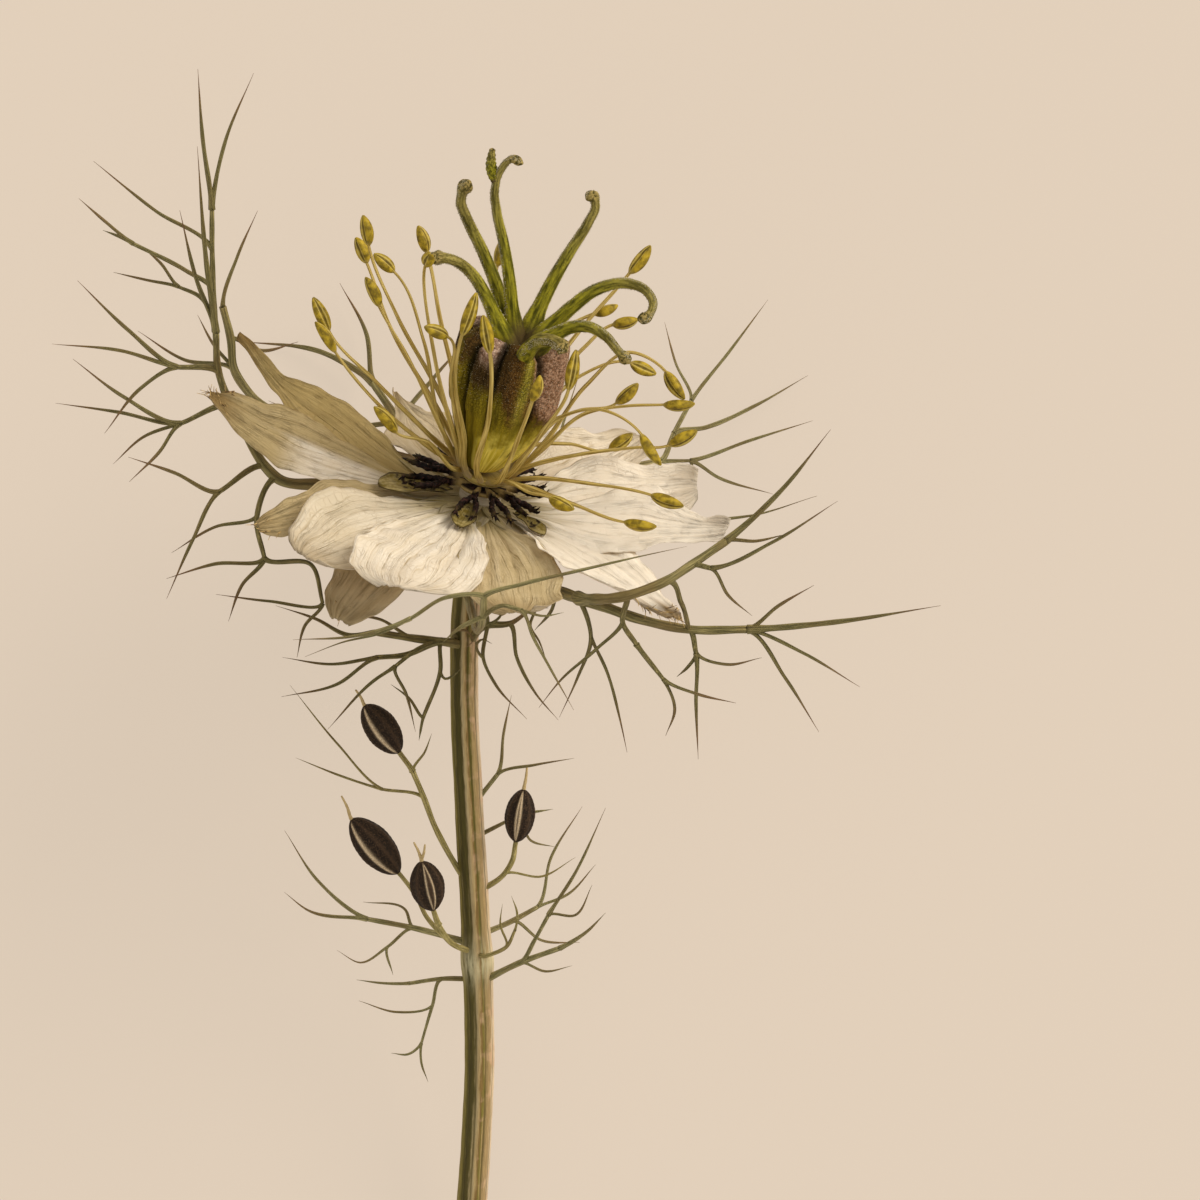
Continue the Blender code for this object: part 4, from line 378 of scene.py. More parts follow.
SEED_CASES = [
    ((-7.1, -23.5, 17.6), (-10.2, -19.3, 18.4), 3.1, [(-11.0, -17.9, 18.8)]),
    ((-7.2, -34.3, 13.1), (-11.4, -29.5, 14.2), 3.3, [(-12.3, -27.4, 14.8)]),
    ((-4.1, -37.6, 17.3), (-5.1, -33.2, 18.6), 3.1, [(-5.8, -31.5, 19.2), (-4.8, -31.7, 19.6)]),
    ((3.3, -31.5, 16.3), (4.0, -26.8, 17.2), 2.7, [(4.3, -24.6, 17.3)]),
]
SEED_CASE_RIBS = 8
BEAK_SINK = 0.12

STEM_SIDES = 90
STEM_JOINT = -42.0
PETAL_ROWS = 73
PETAL_COLUMNS = 41
PETAL_THICKNESS = 0.16
PETAL_FRILL = 0.12
PETAL_CREASE = 0.17
PETAL_KEEL = 0.25
# For each petal: how many torn fibres its tip has, how beige it is, which is partly its own colour and
# partly painted shade, how brown it is, how far its tip curls up, how far one edge rolls up, which is
# the far edge where the number is negative, how deep its folds are, how far its near edge hangs, how
# much whiter that edge is painted as lit, and how much painted light whitens the whole petal.
PETAL_LOOKS = [
    (0, 0.9, 1.0, 0.8, 0.2, 0.6, 0.0, 0.0, 0.0), (34, 0.8, 0.9, 0.4, 0.1, 0.7, 0.2, 0.95, 0.0),
    (12, 0.75, 0.5, 0.0, 0.2, 0.9, 0.0, 0.0, 0.0), (0, 0.3, 0.4, -0.3, -0.2, 1.0, 0.3, 0.6, 0.0),
    (6, 0.8, 0.5, 0.3, 0.2, 1.4, 0.0, 0.0, 0.15), (0, 0.03, 0.2, -0.5, 0.1, 1.7, 0.2, 0.0, 0.0),
    (0, 0.7, 0.5, 0.0, 0.5, 1.5, 0.0, 0.0, 0.0), (40, 0.02, 0.9, 0.0, -0.3, 1.2, 0.0, 0.0, 0.55),
    (0, 0.03, 0.4, 0.0, 0.3, 1.0, 0.0, 0.0, 0.7), (0, 0.03, 0.3, 0.3, 0.3, 0.8, 0.0, 0.0, 0.4),
    (0, 0.1, 0.4, 0.3, 0.3, 0.8, 0.0, 0.0, 0.0), (0, 0.4, 0.4, 0.5, 0.3, 0.8, 0.0, 0.0, 0.0),
    (0, 0.5, 0.6, 0.3, 0.3, 0.8, 0.0, 0.0, 0.0),
]
# The sheets between the petals' claws: azimuth, reach and half width, and their height.
CLAWS = [
    (143, 10.5, 1.7), (170, 7.5, 1.2), (203, 7.5, 1.3), (222, 7.0, 1.2), (245, 7.0, 1.2),
    (271, 7.0, 1.3), (305, 8.0, 1.5), (334, 7.5, 1.3), (8, 7.0, 1.3), (65, 7.0, 1.3), (103, 7.5, 1.4),
]
CLAW_LEVEL = -1.1
CLAW_PLATE = 1.9
# The olive hoods under three nectaries: azimuth, where they start and end, half width and drop.
HOODS = [(206, 3.0, 10.0, 2.0, 0.1), (263, 4.0, 9.4, 1.1, 0.3), (312, 5.0, 9.4, 0.9, 0.2)]
ANTHER_ROWS = 26
ANTHER_SIDES = 28
POD_ROWS = 110
POD_SIDES = 180
POD_HAIRS = 4200
# Azimuths of the grooves between the carpels.
POD_GROOVES = (0, 48, 92, 140, 186, 226, 258, 307)
# Azimuth and width of the green ridge that runs down from the front style.
POD_RIDGE = 286.0
POD_RIDGE_WIDTH = 5.5
# Azimuth, share of the height up to which the pod is green there, how red the brown above it is,
# and the shares of the height from which it turns plum and from which it turns mauve.
POD_COLOURS = [
    (0, 0.44, 0.6, 0.52, 0.92), (30, 0.45, 0.6, 0.7, 0.88), (60, 0.55, 0.3, 1.3, 0.85),
    (90, 0.5, 0.3, 1.3, 0.82), (130, 0.6, 0.4, 1.3, 0.85), (170, 0.6, 0.3, 1.3, 0.85),
    (196, 0.95, 0.1, 1.3, 1.1), (212, 0.85, 0.3, 1.3, 1.05), (224, 0.8, 0.1, 1.3, 0.95),
    (240, 0.68, 0.05, 1.3, 0.84), (256, 0.66, 0.05, 1.3, 0.82), (262, 0.66, 0.05, 1.3, 1.2),
    (272, 0.6, 0.35, 1.3, 1.2), (284, 0.52, 1.0, 1.3, 1.2), (296, 0.52, 1.0, 0.9, 1.2),
    (304, 0.5, 0.8, 0.62, 0.97), (320, 0.46, 0.7, 0.52, 0.92), (345, 0.44, 0.6, 0.52, 0.92),
    (360, 0.44, 0.6, 0.52, 0.92),
]
# The style that bends forwards, and the fold at the second style's tip.
STYLE_STUB = 5
STYLE_FOLD = 7
STYLE_SIDES = 28
FROND_SIDES = 12
# A frond leaves the stem's middle this far below and beside its first point, and a stalk that ends
# this near to a seed case's foot runs on into it.
FROND_ROOT = (0.0, 1.2, 0.5)
CASE_JOINT = 1.2
CASE_ROWS = 60
CASE_SIDES = 96
# How far the suture of a case is parted, from 0 to 1, and the side that it is away from.
OPEN_CASES = {3: 1.0, 4: 0.6}
CASE_HINTS = [(0.35, 0.25, -1), (0.45, 0.4, -1), (-0.15, 0, -1), (0.1, 0, -1)]

# The photograph's frame: where its centre lies, how wide it is, and how far the camera stands.
VIEW_CENTRE = (10.8, -9.9)
VIEW_WIDTH = 108.0
VIEW_DISTANCE = 2000.0
SENSOR = 36.0

FLOOR_COLOUR = (0.18, 0.145, 0.115, 1)
FLOOR_GLOW = (0.555, 0.469, 0.376, 1)
FLOOR_SIZE = 3.0


def unit(vectors):
    return vectors / np.maximum(np.linalg.norm(vectors, axis=-1, keepdims=True), 1e-12)


def head_axes():
    """The flower's axis, its right and its back, which points down to the surface."""
    axis = np.array((
        math.sin(LEAN_RIGHT) * math.cos(LEAN_UP),
        math.cos(LEAN_RIGHT) * math.cos(LEAN_UP),
        math.sin(LEAN_UP),
    ))
    right = np.array((math.cos(LEAN_RIGHT), -math.sin(LEAN_RIGHT), 0))
    return axis, right, np.cross(axis, right)


AXIS, RIGHT, BACK = head_axes()


def spoke(azimuth):
    """Directions away from the flower's axis at azimuths in degrees."""
    turn = np.radians(azimuth)
    return np.multiply.outer(np.cos(turn), RIGHT) + np.multiply.outer(np.sin(turn), BACK)


def head_point(azimuth, reach, height):
    """Points of the flower, from their distance to the axis and their height along it."""
    reach, height = np.asarray(reach), np.asarray(height)
    return HEAD + spoke(azimuth) * reach[..., None] + AXIS * height[..., None]


def ease(value, start, end):
    """0 before start, 1 after end and a smooth step between them."""
    share = np.clip((np.asarray(value) - start) / (end - start), 0, 1)
    return share * share * (3 - 2 * share)


def smooth_path(points, step, lead=None):
    """Points about a step apart on a smooth curve through the given ones."""
    points = np.asarray(points, float)
    before = 2 * points[0] - points[1] if lead is None else points[0] - lead
    knots = np.vstack([before, points, 2 * points[-1] - points[-2]])
    gaps = np.maximum(np.linalg.norm(np.diff(knots, axis=0), axis=1), 1e-6)[:, None]
    slopes = np.diff(knots, axis=0) / gaps
    bends = (slopes[:-1] * gaps[1:] + slopes[1:] * gaps[:-1]) / (gaps[:-1] + gaps[1:])
    rows = []
    for number in range(len(points) - 1):
        span = gaps[number + 1, 0]
        t = np.linspace(0, 1, max(2, round(span / step)), endpoint=False)[:, None]
        rows.append(
            (2 * t ** 3 - 3 * t ** 2 + 1) * points[number]
            + (t ** 3 - 2 * t ** 2 + t) * bends[number] * span
            + (3 * t ** 2 - 2 * t ** 3) * points[number + 1]
            + (t ** 3 - t ** 2) * bends[number + 1] * span
        )
    return np.vstack(rows + [points[-1:]])


def smooth_curve(table):
    """Shares and values on a smooth line through the table's rows, for np.interp."""
    dense = smooth_path(table, 0.02)
    return dense[:, 0], dense[:, 1]


class Shape:
    """Points, faces and values for each point, gathered for one mesh."""

    def __init__(self):
        self.points = []
        self.faces = []
        self.values = {}
        self.count = 0

    def add(self, points, faces, **values):
        points = np.asarray(points).reshape(-1, 3)
        self.faces += [tuple(self.count + index for index in face) for face in faces]
        self.points.append(points)
        for name, value in values.items():
            value = np.broadcast_to(np.asarray(value, float), len(points))
            self.values.setdefault(name, []).append((self.count, value))
        self.count += len(points)

    def piece(self, name, material, node, slot):
        """The mesh object, which stands in for a node of the model."""
        mesh = bpy.data.meshes.new(name)
        points = (np.vstack(self.points) + ORIGIN) * MM
        mesh.from_pydata(points.tolist(), [], self.faces)
        tidy = bmesh.new()
        tidy.from_mesh(mesh)
        bmesh.ops.recalc_face_normals(tidy, faces=tidy.faces)
        tidy.to_mesh(mesh)
        tidy.free()
        mesh.shade_smooth()
        for key, chunks in self.values.items():
            whole = np.zeros(self.count, np.float32)
            for start, value in chunks:
                whole[start:start + len(value)] = value
            mesh.attributes.new(key, "FLOAT", "POINT").data.foreach_set("value", whole)
        mesh.materials.append(material)
        thing = bpy.data.objects.new(name, mesh)
        bpy.context.scene.collection.objects.link(thing)
        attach(thing, "root")
        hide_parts(node)
        return thing


def tube_faces(rows, sides):
    """Quads round a tube of rings, and a fan on the middle point of each end."""
    faces = []
    for row in range(rows - 1):
        for side in range(sides):
            following = (side + 1) % sides
            low, high = row * sides, (row + 1) * sides
            faces.append((low + side, low + following, high + following, high + side))
    foot, tip = rows * sides, rows * sides + 1
    last = (rows - 1) * sides
    for side in range(sides):
        following = (side + 1) % sides
        faces.append((foot, following, side))
        faces.append((tip, last + side, last + following))
    return faces


def sections(path, hint=None):
    """Two directions across a path at each of its points, which turn as little as they can."""
    ahead = unit(np.gradient(path, axis=0))
    side = np.array(hint if hint is not None else (0.31, 0.17, 0.93), float)
    sides = []
    for direction in ahead:
        side = unit(side - direction * side.dot(direction))
        sides.append(side)
    sides = np.array(sides)
    return sides, np.cross(ahead, sides)


def tube(shape, path, radii, sides, relief=1.0, flat=1.0, hint=None, **values):
    """A closed tube along a path. relief scales its points, and flat thins it one way."""
    path = np.asarray(path)
    side, across = sections(path, hint)
    turn = np.arange(sides) * math.tau / sides
    reach = np.broadcast_to(np.asarray(radii)[:, None] * relief, (len(path), sides))
    rings = path[:, None] + (
        side[:, None] * (reach * np.cos(turn))[..., None]
        + across[:, None] * (reach * np.sin(turn) * flat)[..., None]
    )
    steps = np.linalg.norm(np.diff(path, axis=0), axis=1)
    run = np.concatenate([[0], np.cumsum(steps)])
    along = np.repeat(run / run[-1], sides)
    left = np.repeat(run[-1] - run, sides)
    around = np.tile(turn, len(path))
    ends = {"along": (along, 0, 1), "left": (left, run[-1], 0), "around": (around, 0, 0)}
    points = np.vstack([rings.reshape(-1, 3), path[:1], path[-1:]])
    spread = {key: np.append(value, (first, last)) for key, (value, first, last) in ends.items()}
    for key, value in values.items():
        value = np.broadcast_to(np.asarray(value, float), (len(path), sides))
        spread[key] = np.append(value.ravel(), (value[0].mean(), value[-1].mean()))
    shape.add(points, tube_faces(len(path), sides), **spread)
    return rings


class Paint:
    """A material's nodes, made one value or colour at a time."""

    def __init__(self, name):
        self.material = bpy.data.materials.new(name)
        self.material.use_nodes = True
        self.nodes = self.material.node_tree.nodes
        self.links = self.material.node_tree.links
        self.shader = self.nodes["Principled BSDF"]
        self.place = self.node("ShaderNodeTexCoord").outputs["Object"]

    def node(self, kind, **settings):
        made = self.nodes.new(kind)
        for key, value in settings.items():
            setattr(made, key, value)
        return made

    def feed(self, socket, value):
        if isinstance(value, bpy.types.NodeSocket):
            self.links.new(value, socket)
        else:
            socket.default_value = value

    def value(self, name):
        return self.node("ShaderNodeAttribute", attribute_name=name).outputs["Fac"]

    def math(self, operation, *values):
        made = self.node("ShaderNodeMath", operation=operation)
        for socket, value in zip(made.inputs, values):
            self.feed(socket, value)
        return made.outputs[0]

    def ramp(self, value, start, end):
        """0 where the value is at start, 1 where it is at end, and smooth between them."""
        made = self.node("ShaderNodeMapRange", interpolation_type="SMOOTHSTEP")
        self.feed(made.inputs["Value"], value)
        made.inputs["From Min"].default_value = min(start, end)
        made.inputs["From Max"].default_value = max(start, end)
        made.inputs["To Min"].default_value = 0.0 if start < end else 1.0
        made.inputs["To Max"].default_value = 1.0 if start < end else 0.0
        return made.outputs["Result"]

    def vector(self, *values):
        made = self.node("ShaderNodeCombineXYZ")
        for socket, value in zip(made.inputs, values):
            self.feed(socket, value)
        return made.outputs[0]

    def noise(self, size, detail=2.0, place=None, rough=0.5):
        """Cloudy values with spots about this many millimetres wide, or one unit of the place."""
        made = self.node("ShaderNodeTexNoise")
        self.feed(made.inputs["Vector"], place or self.place)
        made.inputs["Scale"].default_value = 1 / size if place else 1 / (size * MM)
        made.inputs["Detail"].default_value = detail
        made.inputs["Roughness"].default_value = rough
        return made.outputs["Fac"]

    def cells(self, size, place=None, feature="F1"):
        made = self.node("ShaderNodeTexVoronoi", feature=feature)
        self.feed(made.inputs["Vector"], place or self.place)
        made.inputs["Scale"].default_value = 1 / size if place else 1 / (size * MM)
        return made.outputs["Distance"]

    def mix(self, share, first, second):
        made = self.node("ShaderNodeMix", data_type="RGBA", clamp_factor=True)
        self.feed(made.inputs[0], share)
        self.feed(made.inputs[6], first)
        self.feed(made.inputs[7], second)
        return made.outputs[2]

    def scaled(self, value, factor):
        return self.math("MULTIPLY", value, factor)

    def shaded(self, colour, factor):
        made = self.node("ShaderNodeVectorMath", operation="SCALE")
        self.feed(made.inputs[0], colour)
        self.feed(made.inputs["Scale"], factor)
        return made.outputs[0]

    def varied(self, value, spread):
        """1 on average: the value's distance from one half, times the spread, added to 1."""
        return self.math("MULTIPLY_ADD", self.math("SUBTRACT", value, 0.5), spread, 1.0)

    def bands(self, value, *stops):
        """Colours that follow each other as the value grows, each pure at its own value."""
        colour = stops[0][1]
        for (start, _), (end, shade) in zip(stops, stops[1:]):
            colour = self.mix(self.ramp(value, start, end), colour, shade)
        return colour

    def lines(self, value, count, width):
        """Thin lines where the value times the count is a whole number."""
        scaled = self.math("MULTIPLY", value, count)
        near = self.math("PINGPONG", scaled, 0.5)
        return self.ramp(near, width, 0.0)

    def finish(self, colour, roughness, height=None, depth=0.0, through=None, glow=0.0, gloss=0.2):
        """Sets the shader. depth is the height's size in mm, glow the light let through."""
        self.feed(self.shader.inputs["Base Color"], colour)
        self.feed(self.shader.inputs["Roughness"], roughness)
        self.shader.inputs["Specular IOR Level"].default_value = gloss
        if height is not None:
            bump = self.node("ShaderNodeBump")
            bump.inputs["Distance"].default_value = depth * MM
            self.feed(bump.inputs["Height"], height)
            self.links.new(bump.outputs[0], self.shader.inputs["Normal"])
        if glow:
            leaf = self.node("ShaderNodeBsdfTranslucent")
            self.feed(leaf.inputs["Color"], through)
            both = self.node("ShaderNodeMixShader")
            both.inputs[0].default_value = glow
            self.links.new(self.shader.outputs[0], both.inputs[1])
            self.links.new(leaf.outputs[0], both.inputs[2])
            output = self.nodes["Material Output"]
            self.links.new(both.outputs[0], output.inputs["Surface"])
        return self.material


def stem_material():
    """Wavering stripes, from a dark olive left side to a pinkish cream right side, partly the stem's own tones and
    partly painted shade and light; painted shade in the grooves.
    """
    paint = Paint("stem")
    around, along = paint.value("around"), paint.value("along")
    right, front = paint.math("COSINE", around), paint.math("SINE", around)
    streaks = paint.noise(0.22, 4, paint.vector(right, front, paint.scaled(along, 7.0)), 0.6)
    fibres = paint.noise(0.05, 3, paint.vector(right, front, paint.scaled(along, 2.5)), 0.65)
    blotches = paint.noise(1.5, 3)
    wander = paint.scaled(paint.math("SUBTRACT", streaks, 0.5), 0.55)
    # The bands run from the left side to the right: partly the stem's own tones, partly painted shade on the left
    # and painted light on the right.
    colour = paint.bands(
        paint.math("ADD", right, wander),
        (-0.95, (0.22, 0.17, 0.04, 1)), (-0.6, (0.06, 0.046, 0.007, 1)),
        (-0.38, (0.075, 0.058, 0.010, 1)), (-0.12, (0.42, 0.32, 0.16, 1)),
        (0.04, (0.40, 0.28, 0.12, 1)), (0.18, (0.20, 0.12, 0.035, 1)),
        (0.34, (0.17, 0.14, 0.025, 1)), (0.46, (0.36, 0.25, 0.10, 1)),
        (0.74, (0.34, 0.23, 0.10, 1)), (0.96, (0.64, 0.49, 0.31, 1)),
    )
    # Pink blotches kept to the right side: partly the stem's own colour, partly painted light.
    pink = paint.math("MULTIPLY", paint.ramp(blotches, 0.5, 0.68), paint.ramp(right, -0.2, 0.4))
    colour = paint.mix(paint.scaled(pink, 0.55), colour, (0.60, 0.38, 0.23, 1))
    colour = paint.shaded(colour, paint.varied(fibres, 1.3))
    # Painted shade darkens the grooves between the ribs.
    dark = paint.scaled(paint.ramp(paint.value("groove"), 0.45, 0.95), 0.75)
    colour = paint.mix(dark, colour, (0.075, 0.06, 0.010, 1))
    knot = paint.math("MULTIPLY", paint.value("joint"), paint.ramp(streaks, 0.3, 0.6))
    colour = paint.mix(paint.scaled(knot, 0.7), colour, (0.62, 0.55, 0.33, 1))
    upper = paint.scaled(paint.ramp(along, 0.86, 1.0), 0.7)
    colour = paint.mix(upper, colour, (0.17, 0.14, 0.03, 1))
    colour = paint.mix(paint.value("cut"), colour, (0.62, 0.56, 0.34, 1))
    height = paint.math("ADD", fibres, paint.scaled(streaks, 0.7))
    return paint.finish(colour, 0.6, height, 0.09)


def petal_material():
    """Cream petals, their beige partly painted shade, with branching veins, painted shade and highlights on the
    folds, olive claws, brownish tips and rims.
    """
    paint = Paint("petal")
    along, across = paint.value("along"), paint.value("across")
    tone, seed = paint.value("tone"), paint.value("seed")
    drift = paint.noise(1.0, 2, paint.vector(
        paint.scaled(along, 2.6), paint.scaled(across, 2.2), seed,
    ))
    wander = paint.scaled(paint.math("SUBTRACT", drift, 0.5), 0.5)
    fan = paint.math("ADD", across, paint.math("MULTIPLY", wander, paint.ramp(along, 0.05, 0.7)))
    main = paint.lines(fan, 3.0, 0.06)
    branches = paint.math("MULTIPLY", paint.lines(fan, 6.5, 0.1), paint.ramp(along, 0.2, 0.4))
    twigs = paint.math("MULTIPLY", paint.lines(fan, 15.5, 0.2), paint.ramp(along, 0.3, 0.55))
    net = paint.cells(1.0, paint.vector(
        paint.scaled(along, 30.0), paint.scaled(fan, 13.0), seed,
    ), "DISTANCE_TO_EDGE")
    net = paint.math("MULTIPLY", paint.ramp(net, 0.08, 0.0), paint.ramp(along, 0.25, 0.45))
    veins = paint.math("MAXIMUM", main, paint.scaled(branches, 0.7))
    veins = paint.math("MAXIMUM", veins, paint.scaled(twigs, 0.4))
    veins = paint.math("MAXIMUM", veins, paint.scaled(net, 0.45))
    patchy = paint.ramp(paint.noise(1.1, 4), 0.38, 0.66)
    veins = paint.math("MULTIPLY", veins, paint.math("MULTIPLY_ADD", patchy, 0.65, 0.35))
    clouds = paint.noise(2.2, 4)
    white = paint.mix(clouds, (0.82, 0.71, 0.53, 1), (0.96, 0.90, 0.80, 1))
    beige = paint.mix(clouds, (0.34, 0.235, 0.055, 1), (0.57, 0.42, 0.15, 1))
    # The tone is partly the petals' own beige and partly painted shade on the petals that face away from the light.
    colour = paint.mix(tone, white, beige)
    shade = paint.mix(tone, (0.48, 0.34, 0.14, 1), (0.20, 0.125, 0.03, 1))
    strength = paint.math("MULTIPLY_ADD", tone, 0.1, 0.7)
    colour = paint.mix(paint.math("MULTIPLY", veins, strength), colour, shade)
    # Painted shade in the fold valleys, and a painted highlight on the ridges of the paler petals.
    fold = paint.value("fold")
    colour = paint.mix(paint.scaled(paint.ramp(fold, 0.45, 0.0), 0.5), colour, shade)
    pale = paint.math("MULTIPLY", paint.ramp(fold, 0.65, 1.0), paint.math("SUBTRACT", 1.0, tone))
    colour = paint.mix(paint.scaled(pale, 0.7), colour, (0.97, 0.92, 0.82, 1))
    # Painted light whitens some petals as a whole.
    colour = paint.mix(paint.value("bleach"), colour, (1.0, 0.94, 0.83, 1))
    claw = paint.ramp(paint.math("ADD", along, wander), 0.4, 0.12)
    streaks = paint.lines(fan, 5.0, 0.3)
    olive = paint.mix(paint.math("MAXIMUM", streaks, clouds), (0.62, 0.50, 0.24, 1), (0.24, 0.17, 0.035, 1))
    colour = paint.mix(paint.scaled(claw, 0.85), colour, olive)
    rim = paint.ramp(paint.math("ABSOLUTE", across), 0.93, 1.0)
    worn = paint.math("MULTIPLY", rim, paint.ramp(paint.noise(0.7, 3), 0.5, 0.66))
    tip = paint.ramp(paint.math("ADD", along, paint.scaled(wander, 0.5)), 0.84, 1.0)
    brown = paint.math("MAXIMUM", paint.scaled(worn, 0.7), tip)
    brown = paint.math("MULTIPLY", brown, paint.value("brown"))
    colour = paint.mix(brown, colour, (0.30, 0.19, 0.065, 1))
    crumple = paint.noise(1.0, 4, paint.vector(
        paint.scaled(along, 3.5), paint.scaled(fan, 9.0), seed,
    ), 0.6)
    height = paint.math("MULTIPLY_ADD", veins, -0.5, crumple)
    height = paint.math("MULTIPLY_ADD", paint.noise(0.12, 2), 0.15, height)
    through = paint.mix(0.3, colour, (0.84, 0.62, 0.32, 1))
    return paint.finish(colour, 0.6, height, 0.16, through, 0.25, 0.1)


def fringe_material():
    """Golden and dark brown fibres at the torn tips."""
    paint = Paint("fringe")
    streaks = paint.noise(0.5, 2)
    colour = paint.mix(paint.ramp(streaks, 0.35, 0.6), (0.10, 0.05, 0.018, 1), (0.56, 0.38, 0.15, 1))
    return paint.finish(colour, 0.6, streaks, 0.03)


def nectary_material():
    """Near-black purple lobes, matt and knobbly, on pale claws, with paler ragged ends."""
    paint = Paint("nectary")
    along = paint.value("along")
    knobs = paint.noise(0.28, 4, rough=0.6)
    dark = paint.mix(paint.ramp(knobs, 0.45, 0.75), (0.006, 0.003, 0.002, 1), (0.075, 0.032, 0.026, 1))
    pale = paint.math("MULTIPLY", paint.ramp(along, 0.7, 1.0), paint.value("pale"))
    colour = paint.mix(pale, dark, (0.18, 0.13, 0.03, 1))
    claw = paint.mix(knobs, (0.20, 0.12, 0.035, 1), (0.56, 0.42, 0.17, 1))
    neck = paint.math("MULTIPLY", paint.value("claw"), paint.ramp(along, 1.0, 0.55))
    colour = paint.mix(neck, colour, claw)
    return paint.finish(colour, 0.5, knobs, 0.15, gloss=0.12)


def lip_material():
    """Olive, translucent hoods under the nectaries, with darker veins and a thin dark rim."""
    paint = Paint("lip")
    along, across = paint.value("along"), paint.value("across")
    veins = paint.lines(across, 2.5, 0.2)
    clouds = paint.noise(0.6, 4)
    colour = paint.mix(paint.ramp(clouds, 0.3, 0.7), (0.19, 0.135, 0.025, 1), (0.50, 0.40, 0.17, 1))
    colour = paint.mix(paint.scaled(veins, 0.5), colour, (0.10, 0.07, 0.014, 1))
    rim = paint.math("MAXIMUM", paint.ramp(paint.math("ABSOLUTE", across), 0.84, 0.97),
                     paint.ramp(along, 0.93, 1.0))
    colour = paint.mix(paint.scaled(rim, 0.85), colour, (0.055, 0.035, 0.010, 1))
    dark = paint.math("MULTIPLY", paint.ramp(clouds, 0.45, 0.6), paint.ramp(along, 0.85, 0.6))
    colour = paint.mix(dark, colour, (0.02, 0.010, 0.006, 1))
    return paint.finish(colour, 0.5, clouds, 0.05, colour, 0.25, 0.1)


def filament_material():
    """Olive-yellow threads with brownish streaks, paler towards their feet, partly their own colour and partly a
    painted highlight.
    """
    paint = Paint("filament")
    along, around = paint.value("along"), paint.value("around")
    strand = paint.vector(
        paint.math("COSINE", around), paint.math("SINE", around), paint.scaled(along, 3.0),
    )
    streaks = paint.noise(0.4, 3, strand)
    pale = paint.mix(paint.ramp(streaks, 0.3, 0.7), (0.28, 0.18, 0.025, 1), (0.76, 0.60, 0.20, 1))
    foot = paint.mix(streaks, (0.46, 0.31, 0.10, 1), (0.98, 0.84, 0.52, 1))
    # The feet are paler, partly their own colour and partly a painted highlight.
    colour = paint.mix(paint.ramp(along, 0.22, 0.04), pale, foot)
    through = paint.mix(0.5, colour, (0.90, 0.74, 0.36, 1))
    return paint.finish(colour, 0.5, streaks, 0.06, through, 0.35)


def anther_material():
    """Mustard-brown anthers with painted shade in the cleft and painted highlights on the rims beside it."""
    paint = Paint("anther")
    groove, along = paint.value("groove"), paint.value("along")
    grain = paint.noise(0.08, 3)
    broad = paint.noise(0.6, 3)
    lobes = paint.mix(paint.ramp(broad, 0.3, 0.7), (0.15, 0.10, 0.005, 1), (0.45, 0.31, 0.018, 1))
    # Painted highlight: the rims beside the cleft are lighter.
    rim = paint.math("MULTIPLY", paint.ramp(groove, 0.06, 0.3), paint.ramp(groove, 0.8, 0.5))
    colour = paint.mix(paint.scaled(rim, 0.75), lobes, (0.54, 0.42, 0.12, 1))
    # Painted shade darkens the cleft.
    colour = paint.mix(paint.scaled(paint.ramp(groove, 0.7, 1.0), 0.75), colour, (0.06, 0.038, 0.005, 1))
    colour = paint.mix(paint.ramp(along, 0.16, 0.0), colour, (0.40, 0.29, 0.07, 1))
    return paint.finish(colour, 0.5, grain, 0.04, gloss=0.2)


